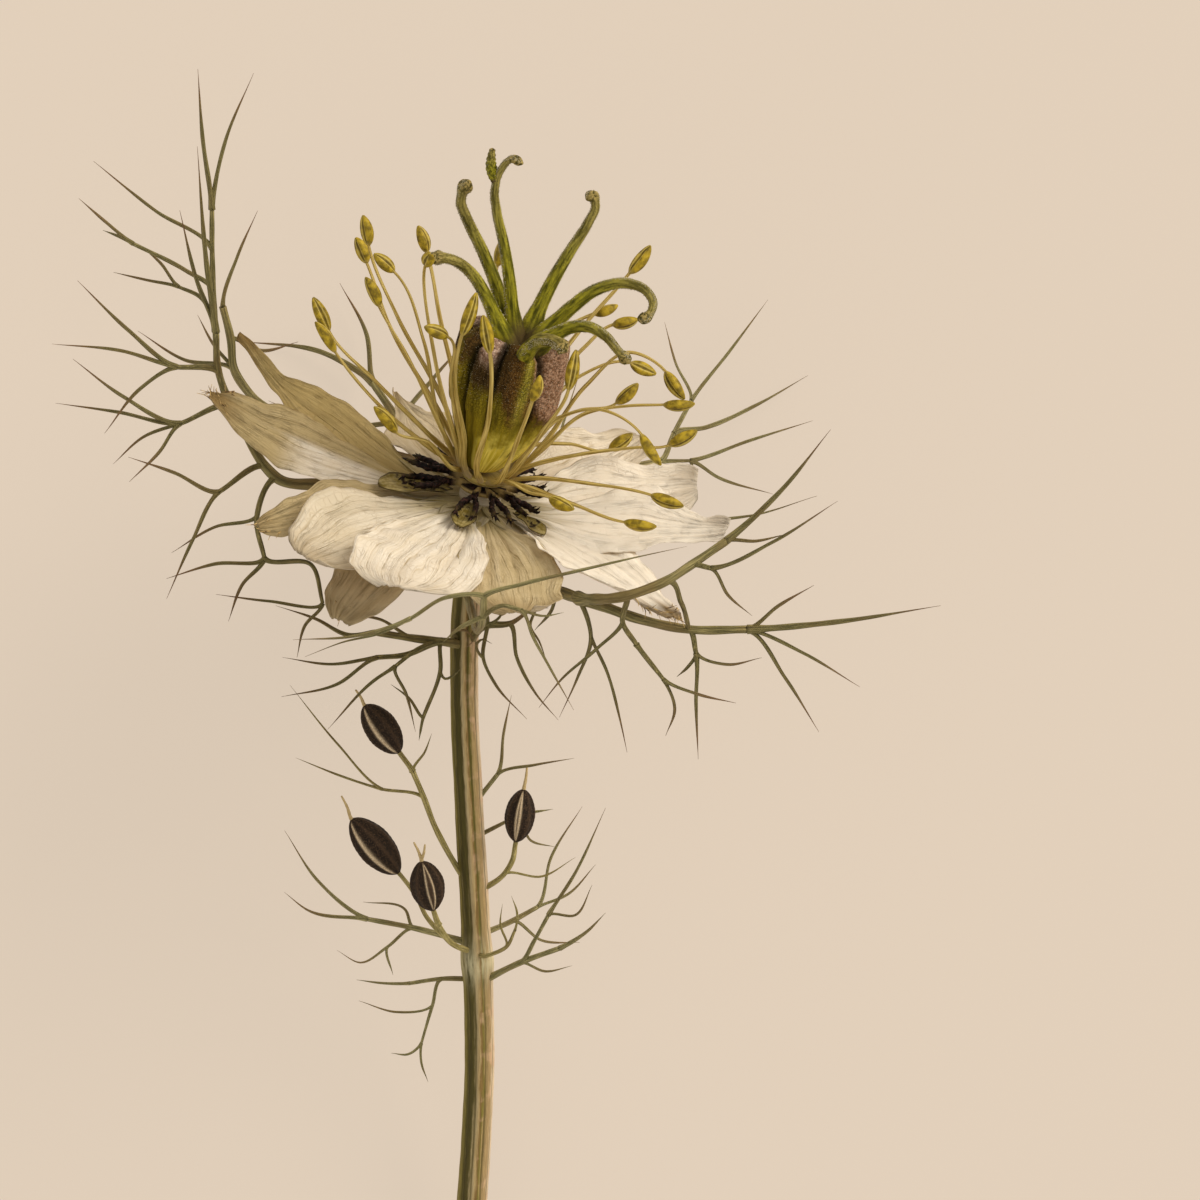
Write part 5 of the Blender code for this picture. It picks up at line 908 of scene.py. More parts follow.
def pod_material():
    """Yellow-green foot, brown middle and mauve shoulders with a net of fine cells; painted light on the front and
    right sides, painted shade in the grooves.
    """
    paint = Paint("pod")
    share, groove = paint.value("share"), paint.value("groove")
    blotches = paint.noise(1.6, 4, rough=0.6)
    streaks = paint.noise(1.0, 4, paint.vector(
        paint.scaled(paint.value("around"), 11.0), paint.scaled(share, 3.0), 0.0,
    ), 0.6)
    fine = paint.noise(0.3, 3)
    wander = paint.math("ADD", paint.scaled(blotches, 0.5), paint.scaled(streaks, 0.7))
    wander = paint.math("MULTIPLY_ADD", paint.math("SUBTRACT", wander, 0.6), 0.8, 0.0)
    level = paint.math("ADD", share, wander)
    contrast = paint.ramp(streaks, 0.3, 0.7)
    # Painted light: the green is brighter on the lit front and right sides and darker on the others.
    fresh = paint.mix(
        paint.value("lit"), paint.mix(contrast, (0.05, 0.038, 0.001, 1), (0.20, 0.155, 0.005, 1)),
        paint.mix(contrast, (0.50, 0.38, 0.02, 1), (1.0, 0.86, 0.20, 1)),
    )
    olive = paint.mix(contrast, (0.09, 0.067, 0.005, 1), (0.32, 0.24, 0.016, 1))
    dark = paint.mix(contrast, (0.018, 0.010, 0.002, 1), (0.09, 0.052, 0.014, 1))
    maroon = paint.mix(paint.ramp(fine, 0.3, 0.7), (0.05, 0.022, 0.004, 1), (0.20, 0.095, 0.022, 1))
    plum = paint.mix(paint.ramp(fine, 0.3, 0.7), (0.20, 0.095, 0.045, 1), (0.48, 0.29, 0.18, 1))
    mauve = paint.mix(paint.ramp(fine, 0.3, 0.7), (0.24, 0.13, 0.08, 1), (0.60, 0.42, 0.31, 1))
    green = paint.math("ADD", paint.value("green"), wander)
    colour = paint.mix(paint.ramp(paint.math("SUBTRACT", level, 0.2), 0.0, 0.22), fresh, olive)
    brown = paint.mix(paint.value("warm"), dark, maroon)
    colour = paint.mix(paint.ramp(green, 0.38, 0.62), colour, brown)
    colour = paint.mix(paint.ramp(paint.math("ADD", paint.value("plum"), wander), 0.4, 0.65), colour, plum)
    top = paint.math("ADD", paint.value("top"), paint.scaled(wander, 0.6))
    colour = paint.mix(paint.ramp(top, 0.4, 0.7), colour, mauve)
    ridge = paint.math("MULTIPLY", paint.value("ridge"), paint.ramp(blotches, 0.1, 0.4))
    bright = paint.mix(contrast, (0.20, 0.165, 0.010, 1), (0.50, 0.42, 0.07, 1))
    colour = paint.mix(ridge, colour, bright)
    cells = paint.cells(0.22, feature="DISTANCE_TO_EDGE")
    net = paint.math("MULTIPLY", paint.ramp(cells, 0.1, 0.0), paint.ramp(level, 0.3, 0.7))
    colour = paint.shaded(colour, paint.math("MULTIPLY_ADD", net, -0.55, 1.12))
    # Painted shade darkens the grooves between the carpels.
    colour = paint.mix(paint.scaled(paint.ramp(groove, 0.2, 0.85), 0.85), colour, (0.018, 0.012, 0.003, 1))
    height = paint.math("MULTIPLY_ADD", net, -1.0, paint.scaled(streaks, 0.6))
    height = paint.math("MULTIPLY_ADD", paint.noise(0.07, 2), 0.3, height)
    return paint.finish(colour, 0.6, height, 0.14, gloss=0.05)


def style_material():
    """Green styles whose edges, as seen from above, are frosted, partly the papillae's own pale colour and partly a
    painted rim highlight; they turn olive and tan towards their curled tips.
    """
    paint = Paint("style")
    along, around = paint.value("along"), paint.value("around")
    strand = paint.vector(
        paint.math("COSINE", around), paint.math("SINE", around), paint.scaled(along, 4.0),
    )
    streaks = paint.ramp(paint.noise(0.4, 3, strand), 0.3, 0.7)
    green = paint.mix(streaks, (0.06, 0.056, 0.001, 1), (0.34, 0.30, 0.018, 1))
    olive = paint.mix(streaks, (0.07, 0.055, 0.006, 1), (0.30, 0.24, 0.06, 1))
    colour = paint.mix(paint.ramp(along, 0.4, 0.85), green, olive)
    colour = paint.mix(paint.ramp(along, 0.08, 0.2), (0.09, 0.06, 0.02, 1), colour)
    knob = paint.mix(paint.ramp(paint.noise(0.3, 3), 0.4, 0.6), (0.06, 0.048, 0.006, 1), (0.34, 0.25, 0.08, 1))
    colour = paint.mix(paint.ramp(along, 0.88, 0.97), colour, knob)
    beads = paint.ramp(paint.cells(0.13), 0.5, 0.1)
    # The pale beads on the edges seen from above are partly the papillae's own colour and partly a painted rim
    # highlight.
    frost = paint.math("MULTIPLY", paint.value("frost"), beads)
    colour = paint.mix(paint.scaled(frost, 0.85), colour, (0.70, 0.63, 0.42, 1))
    return paint.finish(colour, 0.5, beads, 0.07, gloss=0.12)


def papilla_material():
    paint = Paint("papilla")
    grain = paint.noise(0.2, 2)
    colour = paint.mix(grain, (0.50, 0.42, 0.24, 1), (0.86, 0.78, 0.60, 1))
    return paint.finish(colour, 0.4, grain, 0.02, colour, 0.3)


def frond_material(name, body, light, tip):
    """Lengthwise ribs of two shades, browner patches, and tips of another colour."""
    paint = Paint(name)
    along, around, left = paint.value("along"), paint.value("around"), paint.value("left")
    strand = paint.vector(
        paint.math("COSINE", around), paint.math("SINE", around), paint.scaled(along, 3.0),
    )
    streaks = paint.ramp(paint.noise(0.35, 4, strand, 0.6), 0.3, 0.7)
    colour = paint.mix(streaks, body, light)
    warm = paint.scaled(paint.ramp(paint.noise(3.5, 3), 0.42, 0.7), 0.6)
    colour = paint.mix(warm, colour, (0.19, 0.12, 0.035, 1))
    end = paint.math("MULTIPLY", paint.ramp(left, 5.5, 0.8), paint.value("tip"))
    colour = paint.mix(end, colour, tip)
    return paint.finish(colour, 0.55, streaks, 0.07, gloss=0.3)


def seed_case_material():
    """Near-black brown grains with pale sutures, and lighter rib crests that are a painted highlight."""
    paint = Paint("seed_case")
    grain = paint.noise(0.09, 4, rough=0.7)
    broad = paint.noise(0.8, 3)
    dark = paint.mix(broad, (0.004, 0.002, 0.001, 1), (0.022, 0.011, 0.004, 1))
    dark = paint.mix(paint.ramp(grain, 0.5, 0.72), dark, (0.15, 0.088, 0.046, 1))
    # Painted highlight: the ribs' crests are a lighter brown.
    dark = paint.mix(paint.scaled(paint.value("rib"), 0.35), dark, (0.10, 0.056, 0.028, 1))
    pale = paint.mix(paint.ramp(grain, 0.3, 0.7), (0.36, 0.23, 0.11, 1), (0.84, 0.68, 0.46, 1))
    colour = paint.mix(paint.value("suture"), dark, pale)
    return paint.finish(colour, 0.6, grain, 0.09, gloss=0.15)


def beak_material():
    paint = Paint("beak")
    grain = paint.noise(0.3, 3)
    colour = paint.mix(grain, (0.30, 0.20, 0.075, 1), (0.58, 0.44, 0.22, 1))
    return paint.finish(colour, 0.5, grain, 0.04)


def floor_material():
    """A plain pale surface that glows, so that it is even like a lit studio table."""
    paint = Paint("floor")
    cloud = paint.noise(60.0, 3)
    darker = tuple(channel * 0.97 for channel in FLOOR_COLOUR[:3]) + (1,)
    paint.shader.inputs["Emission Color"].default_value = FLOOR_GLOW
    paint.shader.inputs["Emission Strength"].default_value = 1.0
    return paint.finish(paint.mix(cloud, darker, FLOOR_COLOUR), 0.9)


def build_stem():
    """The ribbed stem with its swollen top, its leaf joint and its cut end."""
    shape = Shape()
    table = np.array(STEM_PATH)
    path = smooth_path(table, 0.4)[:, :3]
    width = smooth_path(table, 0.4)[:, 3]
    run = np.concatenate([[0], np.cumsum(np.linalg.norm(np.diff(path, axis=0), axis=1))])
    joint = np.exp(-((path[:, 1] - STEM_JOINT) / 1.6) ** 2)
    radii = STEM_WIDTH / 2 * width * (1 + 0.13 * joint)
    turn = np.arange(STEM_SIDES) * math.tau / STEM_SIDES
    twist = run[:, None] * 0.006
    ribs = np.abs(np.cos(STEM_RIBS * (turn + twist) / 2 - 0.6))
    minor = np.cos(2 * STEM_RIBS * (turn + twist) + 2 * np.sin(run[:, None] * 0.11))
    relief = 0.9 + 0.115 * ribs ** 0.7 + 0.012 * minor
    relief = relief + 0.012 * np.sin(run[:, None] * 0.7 + 3 * turn) + 0.006 * np.sin(run[:, None] * 2.3)
    groove = 1 - ribs
    cut = np.zeros(len(path))
    cut[0] = 1
    tube(
        shape, path, radii, STEM_SIDES, relief, hint=(1, 0, 0), groove=groove, cut=cut[:, None],
        joint=joint[:, None],
    )
    shape.piece("stem_fine", stem_material(), "stem", "stem")


def outline_width(along, bluntness):
    pointed = np.interp(along, *smooth_curve(POINTED_OUTLINE))
    blunt = np.interp(along, *smooth_curve(BLUNT_OUTLINE))
    return pointed + (blunt - pointed) * bluntness


def petal_grid(petal, look, along, across):
    """Points of a petal's middle surface and how high its folds are there, from 0 to 1.

    along runs 0 to 1, across runs -1 to 1.
    """
    azimuth, reach, half_width, tip_rise, base, twist, phase, bluntness, belly = petal
    curl, roll, pleats, droop = look[3:7]
    ragged = 1 + 0.045 * np.sin(11 * along + phase * 3 + np.sign(across))
    ragged = ragged + 0.03 * np.sin(29 * along + phase * 5 + 2 * np.sign(across)) * ease(along, 0.3, 0.6)
    side = across * half_width * outline_width(along, bluntness) * ragged
    height = base + tip_rise * along ** 2 + belly * np.sin(math.pi * along)
    height = height + PETAL_CUP * side ** 2 * along * (1 - along)
    wave = np.sin(math.tau * PETAL_WAVES * along + phase + PETAL_WAVE_SKEW * across)
    height = height + PETAL_WAVE * wave * across ** 2 * along
    blade = ease(along, 0.16, 0.36)
    frill = np.sin(38 * along + 4 * phase + 2.5 * across) + 0.5 * np.sin(67 * along + phase)
    height = height + PETAL_FRILL * frill * np.abs(across) ** 3 * blade
    bent = across + 0.06 * np.sin(7 * along + phase)
    broad = 1 - 2 * np.abs(np.sin(math.pi * (1.6 * bent + 0.31 * phase)))
    fine = 1 - 2 * np.abs(np.sin(math.pi * (3.7 * bent + 0.05 * np.sin(11 * along) + phase)))
    crease = (broad + 0.55 * fine) * (0.75 + 0.25 * np.sin(9 * along + 3 * across + phase))
    height = height - PETAL_CREASE * pleats * crease * blade * (1.1 - 0.75 * along)
    height = height - PETAL_KEEL * np.exp(-(across / 0.12) ** 2) * (1 - along)
    height = height + curl * (ease(along, 0.72, 1.0) ** 2 - along ** 3)
    height = height - droop * ease(across, 0.35, 0.95) * np.sin(math.pi * along) ** 2
    height = height + abs(roll) * ease(np.sign(roll) * across, 0.6, 1.0) * blade
    turn = np.radians(twist) * np.minimum(1.0, along / PETAL_TWIST_SHARE)
    radius = PETAL_FOOT + (reach - PETAL_FOOT) * along
    hand = 1 if spoke(azimuth + 90).dot(BACK) >= 0 else -1
    sideways = (
        np.cos(turn)[..., None] * spoke(azimuth + 90) + np.sin(turn)[..., None] * AXIS * hand
    )
    fold = 0.5 - 0.32 * crease * blade * (1 - 0.5 * along)
    return head_point(azimuth, radius, height) + sideways * side[..., None], fold


def sheet_faces(rows, columns):
    """Faces of a closed sheet whose two sides are grids of the same size."""
    faces = []
    far = rows * columns
    for row in range(rows - 1):
        for column in range(columns - 1):
            a = row * columns + column
            b, c, d = a + 1, a + columns + 1, a + columns
            faces += [(a, b, c, d), (far + d, far + c, far + b, far + a)]
    rim = [row * columns for row in range(rows)]
    rim += [(rows - 1) * columns + column for column in range(1, columns)]
    rim += [row * columns + columns - 1 for row in range(rows - 2, -1, -1)]
    rim += list(range(columns - 2, 0, -1))
    for here, following in zip(rim, rim[1:] + rim[:1]):
        faces.append((here, following, far + following, far + here))
    return faces


def build_petals():
    material = petal_material()
    fringe = Shape()
    along, across = np.meshgrid(
        np.linspace(0, 1, PETAL_ROWS), np.linspace(-1, 1, PETAL_COLUMNS), indexing="ij",
    )
    for number, (petal, look) in enumerate(zip(PETALS, PETAL_LOOKS)):
        grid, fold = petal_grid(petal, look, along, across)
        # Painted light: the near edge of some petals loses part of the beige tone and shows whiter.
        tone = look[1] * (1 - look[7] * ease(across, -0.4, -0.05) * ease(along, 0.74, 0.56))
        tone = np.stack([tone, tone * 0.5])
        normal = unit(np.cross(np.gradient(grid, axis=0), np.gradient(grid, axis=1)))
        if normal.reshape(-1, 3).mean(axis=0).dot(AXIS) < 0:
            normal = -normal
        thick = PETAL_THICKNESS / 2 * (1 - 0.6 * np.abs(across) ** 4) * (1 + 2 * ease(along, 0.3, 0.0))
        points = np.concatenate([grid + normal * thick[..., None], grid - normal * thick[..., None]])
        shape = Shape()
        shape.add(
            points, sheet_faces(*along.shape),
            along=np.tile(along.ravel(), 2), across=np.tile(across.ravel(), 2),
            fold=np.tile(fold.ravel(), 2), tone=tone.ravel(), brown=look[2], bleach=look[8],
            seed=number * 3.7,
        )
        shape.piece(f"petal_{number + 1}", material, "petals", "petal")
        for _ in range(look[0]):
            row, column = RANDOM.randint(PETAL_ROWS * 9 // 10, PETAL_ROWS - 2), RANDOM.randint(0, PETAL_COLUMNS - 1)
            root = grid[row, column]
            ahead = unit(grid[row + 1, column] - grid[row - 1, column])
            stray = np.array([RANDOM.uniform(-1, 1) for _ in range(3)])
            bend = root + unit(ahead + stray * 0.35) * RANDOM.uniform(0.3, 0.9)
            end = bend + unit(ahead + stray * 0.9) * RANDOM.uniform(0.3, 1.0)
            path = smooth_path([root - ahead * 0.4, root, bend, end], 0.15)
            tube(fringe, path, np.linspace(0.07, 0.02, len(path)), 5)
    fringe.piece("petal_fringe", fringe_material(), "petals", "petal")
    build_claws(material)


def build_claws(material):
    """Small sheets between the petals' claws, and the plate that all of them grow from."""
    shape = Shape()
    along, across = np.meshgrid(np.linspace(0, 1, 25), np.linspace(-1, 1, 9), indexing="ij")
    for azimuth, reach, half_width in CLAWS:
        radius = PETAL_FOOT + (reach - PETAL_FOOT) * along
        side = across * half_width * np.sin(math.pi * (0.12 + 0.8 * along))
        height = CLAW_LEVEL + 0.15 * across ** 2 + 0.05 * np.sin(12 * along + azimuth)
        grid = head_point(azimuth, radius, height) + spoke(azimuth + 90) * side[..., None]
        points = np.concatenate([grid + AXIS * 0.04, grid - AXIS * 0.04])
        shape.add(
            points, sheet_faces(*along.shape), along=np.tile(0.3 * along.ravel(), 2),
            across=np.tile(across.ravel(), 2), fold=0.5, tone=0.3, brown=0.0, seed=azimuth,
        )
    ends = [head_point(0, 0, CLAW_LEVEL - 0.4), head_point(0, 0, NECTARY_DISC[0])]
    plate = smooth_path(ends, 0.1)
    tube(shape, plate, np.full(len(plate), CLAW_PLATE), 32, fold=0.5, tone=0.3, brown=0.0, seed=0.0)
    shape.piece("petal_claws", material, "petals", "petal")


def build_nectaries():
    """Forked nectaries: a pale claw, two dark ragged lobes and a small upper lip, over hoods."""
    shape, hoods = Shape(), Shape()
    middle = sum(NECTARY_DISC) / 2
    turn = np.arange(16) * math.tau / 16
    for azimuth, reach, rise, spread in NECTARIES:
        foot = head_point(azimuth, NECTARY_FOOT[0] - 0.4, middle)
        fork = head_point(azimuth, NECTARY_FORK[0], middle + NECTARY_FORK[1])
        neck = smooth_path([foot, foot * 0.5 + fork * 0.5 + AXIS * 0.1, fork], 0.1)
        share = np.linspace(0, 1, len(neck))
        tube(shape, neck, 0.2 + 0.24 * share ** 0.7, 16, flat=0.7, hint=AXIS, pale=0.0, claw=1.0)
        for hand in (-1, 1):
            far = reach * RANDOM.uniform(0.93, 1.03)
            between = (far + NECTARY_FORK[0]) / 2
            bend = head_point(azimuth + hand * spread * 0.9, between, middle + rise / 2 + 0.1)
            tip = head_point(azimuth + hand * spread * 0.7, far, middle + rise)
            lobe = smooth_path([fork - (fork - foot) * 0.2, fork, bend, tip], 0.07)
            share = np.linspace(0, 1, len(lobe))
            radii = (0.21 + 0.09 * np.sin(math.pi * share)) * np.clip((1.001 - share) / 0.2, 0, 1) ** 0.5
            knots = 1 + 0.2 * np.sin(share[:, None] * 17 + 2 * turn + azimuth) * np.sin(3 * turn)
            knots = knots + 0.14 * np.sin(share[:, None] * 41 + 3 * turn)
            tube(shape, lobe, np.maximum(radii, 0.02), 16, knots, flat=0.8, hint=AXIS,
                 pale=RANDOM.uniform(0.0, 0.6), claw=0.0)
            for _ in range(6):
                start = lobe[int(len(lobe) * RANDOM.uniform(0.65, 0.95))]
                side = np.array([RANDOM.uniform(-1, 1) for _ in range(3)])
                out = unit(unit(tip - bend) + side * 0.6)
                tatter = smooth_path([start, start + out * 0.4, start + out * 0.8 + side * 0.08], 0.08)
                share = np.linspace(0, 1, len(tatter))
                tube(shape, tatter, 0.15 - 0.12 * share, 8, pale=RANDOM.uniform(0.0, 0.8), claw=0.0)
        lip = head_point(azimuth, NECTARY_FORK[0] + 0.9, middle + 0.75)
        path = smooth_path([foot * 0.4 + fork * 0.6, fork + AXIS * 0.35, lip], 0.09)
        share = np.linspace(0, 1, len(path))
        tube(shape, path, 0.04 + 0.2 * np.sin(math.pi * np.minimum(share + 0.1, 1.0)), 12, flat=0.6,
             pale=0.3, claw=0.6)
    for hood in HOODS:
        build_hood(hoods, middle, *hood)
    plate = smooth_path([head_point(0, 0, NECTARY_DISC[0]), head_point(0, 0, NECTARY_DISC[1])], 0.1)
    radii = NECTARY_DISC_RADIUS * (0.9 + 0.1 * np.sin(np.linspace(0, math.pi, len(plate))))
    tube(shape, plate, radii, 40, pale=0.0, claw=1.0)
    shape.piece("nectaries_fine", nectary_material(), "nectaries", "nectary")
    hoods.piece("nectary_hoods", lip_material(), "nectaries", "nectary")


def build_hood(shape, middle, azimuth, start, end, half_width, drop):
    """A small olive sheet under a nectary, cupped, with a rounded and wavy end."""
    along, across = np.meshgrid(np.linspace(0, 1, 25), np.linspace(-1, 1, 15), indexing="ij")
    outline = np.interp(along, (0, 0.25, 0.5, 0.75, 0.9, 0.97, 1), (0.3, 0.6, 0.9, 1.0, 0.75, 0.4, 0.1))
    width = half_width * outline * (1 + 0.08 * np.sin(13 * along + azimuth))
    reach = start + (end - start) * along
    height = middle - 0.3 - drop * along + 0.35 * across ** 2 * outline + 0.08 * np.sin(9 * along + 3 * across)
    grid = head_point(azimuth, reach, height) + spoke(azimuth + 90) * (across * width)[..., None]
    points = np.concatenate([grid + AXIS * 0.04, grid - AXIS * 0.04])
    shape.add(
        points, sheet_faces(*along.shape), along=np.tile(along.ravel(), 2),
        across=np.tile(across.ravel(), 2),
    )


def build_anther(shape, start, end, hint):
    """Two lobes beside a dark cleft, split at the tip like a fish's tail."""
    start, end = np.asarray(start, float), np.asarray(end, float)
    length = np.linalg.norm(end - start)
    share = np.linspace(0, 1, ANTHER_ROWS)
    bend = np.cross(unit(end - start), hint)
    path = start + (end - start) * share[:, None]
    path = path + bend * (0.05 * length * np.sin(math.pi * share))[:, None]
    turn = np.arange(ANTHER_SIDES) * math.tau / ANTHER_SIDES
    cleft = np.exp(-((np.abs(np.sin(turn)) - 1) / 0.07) ** 2)
    depth = 0.34 + 0.5 * ease(share, 0.8, 1.0)
    relief = 1 - depth[:, None] * cleft + 0.07 * np.exp(-((np.abs(np.sin(turn)) - 0.6) / 0.2) ** 2)
    radii = ANTHER_WIDTH / 2 * np.sin(math.pi * np.clip(share, 0.012, 0.988)) ** 0.52
    radii = radii * (1.06 - 0.2 * share)
    groove = np.broadcast_to(cleft, relief.shape)
    tube(shape, path, radii, ANTHER_SIDES, relief, flat=0.86, hint=hint, groove=groove)


def build_stamens():
    """Ribbon-like filaments, each with its anther, round the pod's foot."""
    threads, anthers = Shape(), Shape()
    level = sum(STAMEN_DISC) / 2
    for azimuth, way, tip in STAMENS:
        foot = head_point(azimuth, FILAMENT_RING - 0.4, level - 0.3)
        ring = head_point(azimuth, FILAMENT_RING, level)
        knots = [foot, ring] + [np.array(point) for point in way]
        knots.append(knots[-1] + (np.array(tip) - knots[-1]) * FILAMENT_SINK)
        path = smooth_path(knots, 0.3)
        share = np.linspace(0, 1, len(path))
        wobble = 1 + 0.05 * np.sin(share * 25 + azimuth)
        radii = (FILAMENT_WIDTHS[0] / 2 * (1.05 - 0.5 * ease(share, 0.0, 1.0))) * wobble
        tube(threads, path, radii, 12, flat=0.72, hint=spoke(azimuth + 90))
        hint = unit(np.array((RANDOM.uniform(-1, 1), RANDOM.uniform(-1, 1), RANDOM.uniform(0.2, 1))))
        build_anther(anthers, way[-1], tip, hint)
    plate = smooth_path([head_point(0, 0, STAMEN_DISC[0]), head_point(0, 0, STAMEN_DISC[1])], 0.1)
    radii = STAMEN_DISC_RADIUS * (0.9 + 0.1 * np.sin(np.linspace(0, math.pi, len(plate))))
    tube(threads, plate, radii, 36)
    threads.piece("filaments", filament_material(), "stamens", "stamen")
    anthers.piece("anthers", anther_material(), "stamens", "stamen")


def pod_surface(share, turn):
    """Points of the ovary, and how deep each lies in a groove between two carpels."""
    azimuth = np.degrees(turn) % 360
    grooves = np.array(POD_GROOVES)
    number = np.searchsorted(grooves, azimuth, "right")
    edges = np.concatenate([grooves[-1:] - 360, grooves, grooves[:1] + 360])
    place = (azimuth - edges[number]) / (edges[number + 1] - edges[number])
    lobe = np.sin(math.pi * place) ** 0.6
    span = np.minimum(place, 1 - place) * (edges[number + 1] - edges[number])
    groove = np.exp(-(span / (3.0 + 3.0 * ease(share, 0.5, 0.9))) ** 2) * ease(share, 0.02, 0.3)
    radius = np.interp(share, *smooth_curve(POD_PROFILE))
    cleft = CARPEL_GROOVE * 0.8 + 0.28 * ease(share, 0.75, 0.97)
    radius = radius * (1 - cleft * (1 - lobe) ** 1.5 - 0.05 * groove)
    midline = np.exp(-((place - 0.5) / 0.05) ** 2) * ease(share, 0.3, 0.6)
    radius = radius * (1 + 0.012 * midline)
    radius = radius + 0.04 * np.sin(17 * turn + 9 * share) * np.sin(math.pi * share)
    bulge = 0.8 * lobe * ease(share, 0.8, 0.93) * ease(share, 1.0, 0.95)
    height = POD_BASE + (POD_TOP - POD_BASE) * share + bulge - 0.9 * ease(share, 0.95, 1.0)
    lean = RIGHT * (-0.55 * ease(share, 0.3, 0.0))[..., None]
    return head_point(azimuth, np.maximum(radius, 0.01), height) + lean, groove


def build_pod():
    """The ovary. A table says up to what share of its height each side is green."""
    shape = Shape()
    share, turn = np.meshgrid(
        np.linspace(0, 1, POD_ROWS), np.arange(POD_SIDES) * math.tau / POD_SIDES, indexing="ij",
    )
    points, groove = pod_surface(share, turn)
    azimuth = np.degrees(turn)
    sides, levels, reds, plums, tops = np.array(POD_COLOURS).T
    green = 0.5 + (share - np.interp(azimuth, sides, levels)) * 1.6
    plum = 0.5 + (share - np.interp(azimuth, sides, plums)) * 2.0
    top = 0.5 + (share - np.interp(azimuth, sides, tops)) * 3.0
    warm = np.interp(azimuth, sides, reds)
    # lit marks the pod's front and right sides, where the green is painted brighter as lit.
    lit = ease(azimuth, 236, 264) * ease(azimuth, 359, 335)
    away = (azimuth - POD_RIDGE - 6 * share + 180) % 360 - 180
    ridge = np.exp(-(away / POD_RIDGE_WIDTH) ** 2) * ease(share, 0.35, 0.7)
    ends = [head_point(0, 0, POD_BASE) - RIGHT * 0.55, head_point(0, 0, POD_TOP - 0.9)]
    values = {"share": share, "groove": groove, "around": turn, "green": green, "warm": warm,
              "plum": plum, "top": top, "ridge": ridge, "lit": lit}
    shape.add(
        np.vstack([points.reshape(-1, 3), ends]), tube_faces(POD_ROWS, POD_SIDES),
        **{key: np.append(value, (value[0, 0], value[-1, 0])) for key, value in values.items()},
    )
    shape.piece("pod_fine", pod_material(), "pod", "pod")


def build_down():
    """Short hairs on the pod's shoulders."""
    shape = Shape()
    for _ in range(POD_HAIRS):
        share, turn = 1 - 0.4 * RANDOM.random() ** 1.5, RANDOM.uniform(0, math.tau)
        root, _ = pod_surface(np.array(share), np.array(turn))
        out = unit(root - head_point(0, 0, POD_BASE + (POD_TOP - POD_BASE) * 0.6))
        lean = np.array([RANDOM.uniform(-0.6, 0.6) for _ in range(3)])
        tip = root + unit(out + lean) * RANDOM.uniform(0.08, 0.2)
        spike(shape, root - out * 0.03, tip, 0.014)
    shape.piece("pod_down", papilla_material(), "pod", "pod")


def spike(shape, root, tip, radius):
    """A three-sided hair."""
    side = unit(np.cross(tip - root, (0.3, 0.5, 0.8)))
    across = np.cross(unit(tip - root), side)
    ring = [root + (side * math.cos(turn) + across * math.sin(turn)) * radius
            for turn in (0, math.tau / 3, 2 * math.tau / 3)]
    shape.add(ring + [tip], [(0, 2, 1), (0, 1, 3), (1, 2, 3), (2, 0, 3)])


def build_styles():
    """Horn-like styles with papillae along both edges and a knobbed, curled tip."""
    horns, beads = Shape(), Shape()
    turn = np.arange(STYLE_SIDES) * math.tau / STYLE_SIDES
    for number, (start, end, way) in enumerate(STYLES):
        path = smooth_path(way, 0.12)
        share = np.linspace(0, 1, len(path))
        run = share * np.linalg.norm(np.diff(path, axis=0), axis=1).sum()
        if number == STYLE_FOLD:
            radii = start / 2 * (0.75 + 0.85 * np.sin(math.pi * share ** 0.7))
        else:
            radii = (start + (end - start) * share) / 2 * 1.1
            foot = 0.0 if number == STYLE_STUB else 0.5
            radii = radii * (1 + foot * ease(run, 5.0, 1.6))
            radii = radii * (1 + 0.45 * np.exp(-((run[-1] - run - 0.7) / 0.5) ** 2))
        radii = radii * np.sqrt(np.clip((1.002 - share) / 0.02, 0, 1))
        relief = 1 - 0.1 * np.exp(-((np.cos(turn - 0.4) - 1) / 0.06) ** 2)
        relief = relief + 0.03 * np.sin(5 * turn + share[:, None] * 8)
        rough_tip = np.ones(len(share)) if number == STYLE_FOLD else ease(run[-1] - run, 1.8, 0.9)
        relief = relief + 0.16 * rough_tip[:, None] * np.sin(4 * turn + 50 * share[:, None])
        # The edges seen from above carry the frost: partly papillae, partly a painted rim highlight.
        frost = np.abs(np.sin(turn)) ** 10 * ease(share, 0.12, 0.3)[:, None]
        rings = tube(horns, path, np.maximum(radii, 0.02), STYLE_SIDES, relief, frost=frost)
        for row in range(4, len(path) - 2):
            for edge in (STYLE_SIDES // 4, STYLE_SIDES * 3 // 4) * 3:
                side = edge + RANDOM.randint(-2, 2)
                if run[row] > 3.0 and RANDOM.random() < 0.5 + 0.4 * share[row]:
                    root = rings[row, side]
                    out = unit(root - path[row])
                    spike(beads, root - out * 0.03, root + out * RANDOM.uniform(0.05, 0.13), 0.055)
    horns.piece("styles", style_material(), "pod", "pod")
    beads.piece("style_papillae", papilla_material(), "pod", "pod")


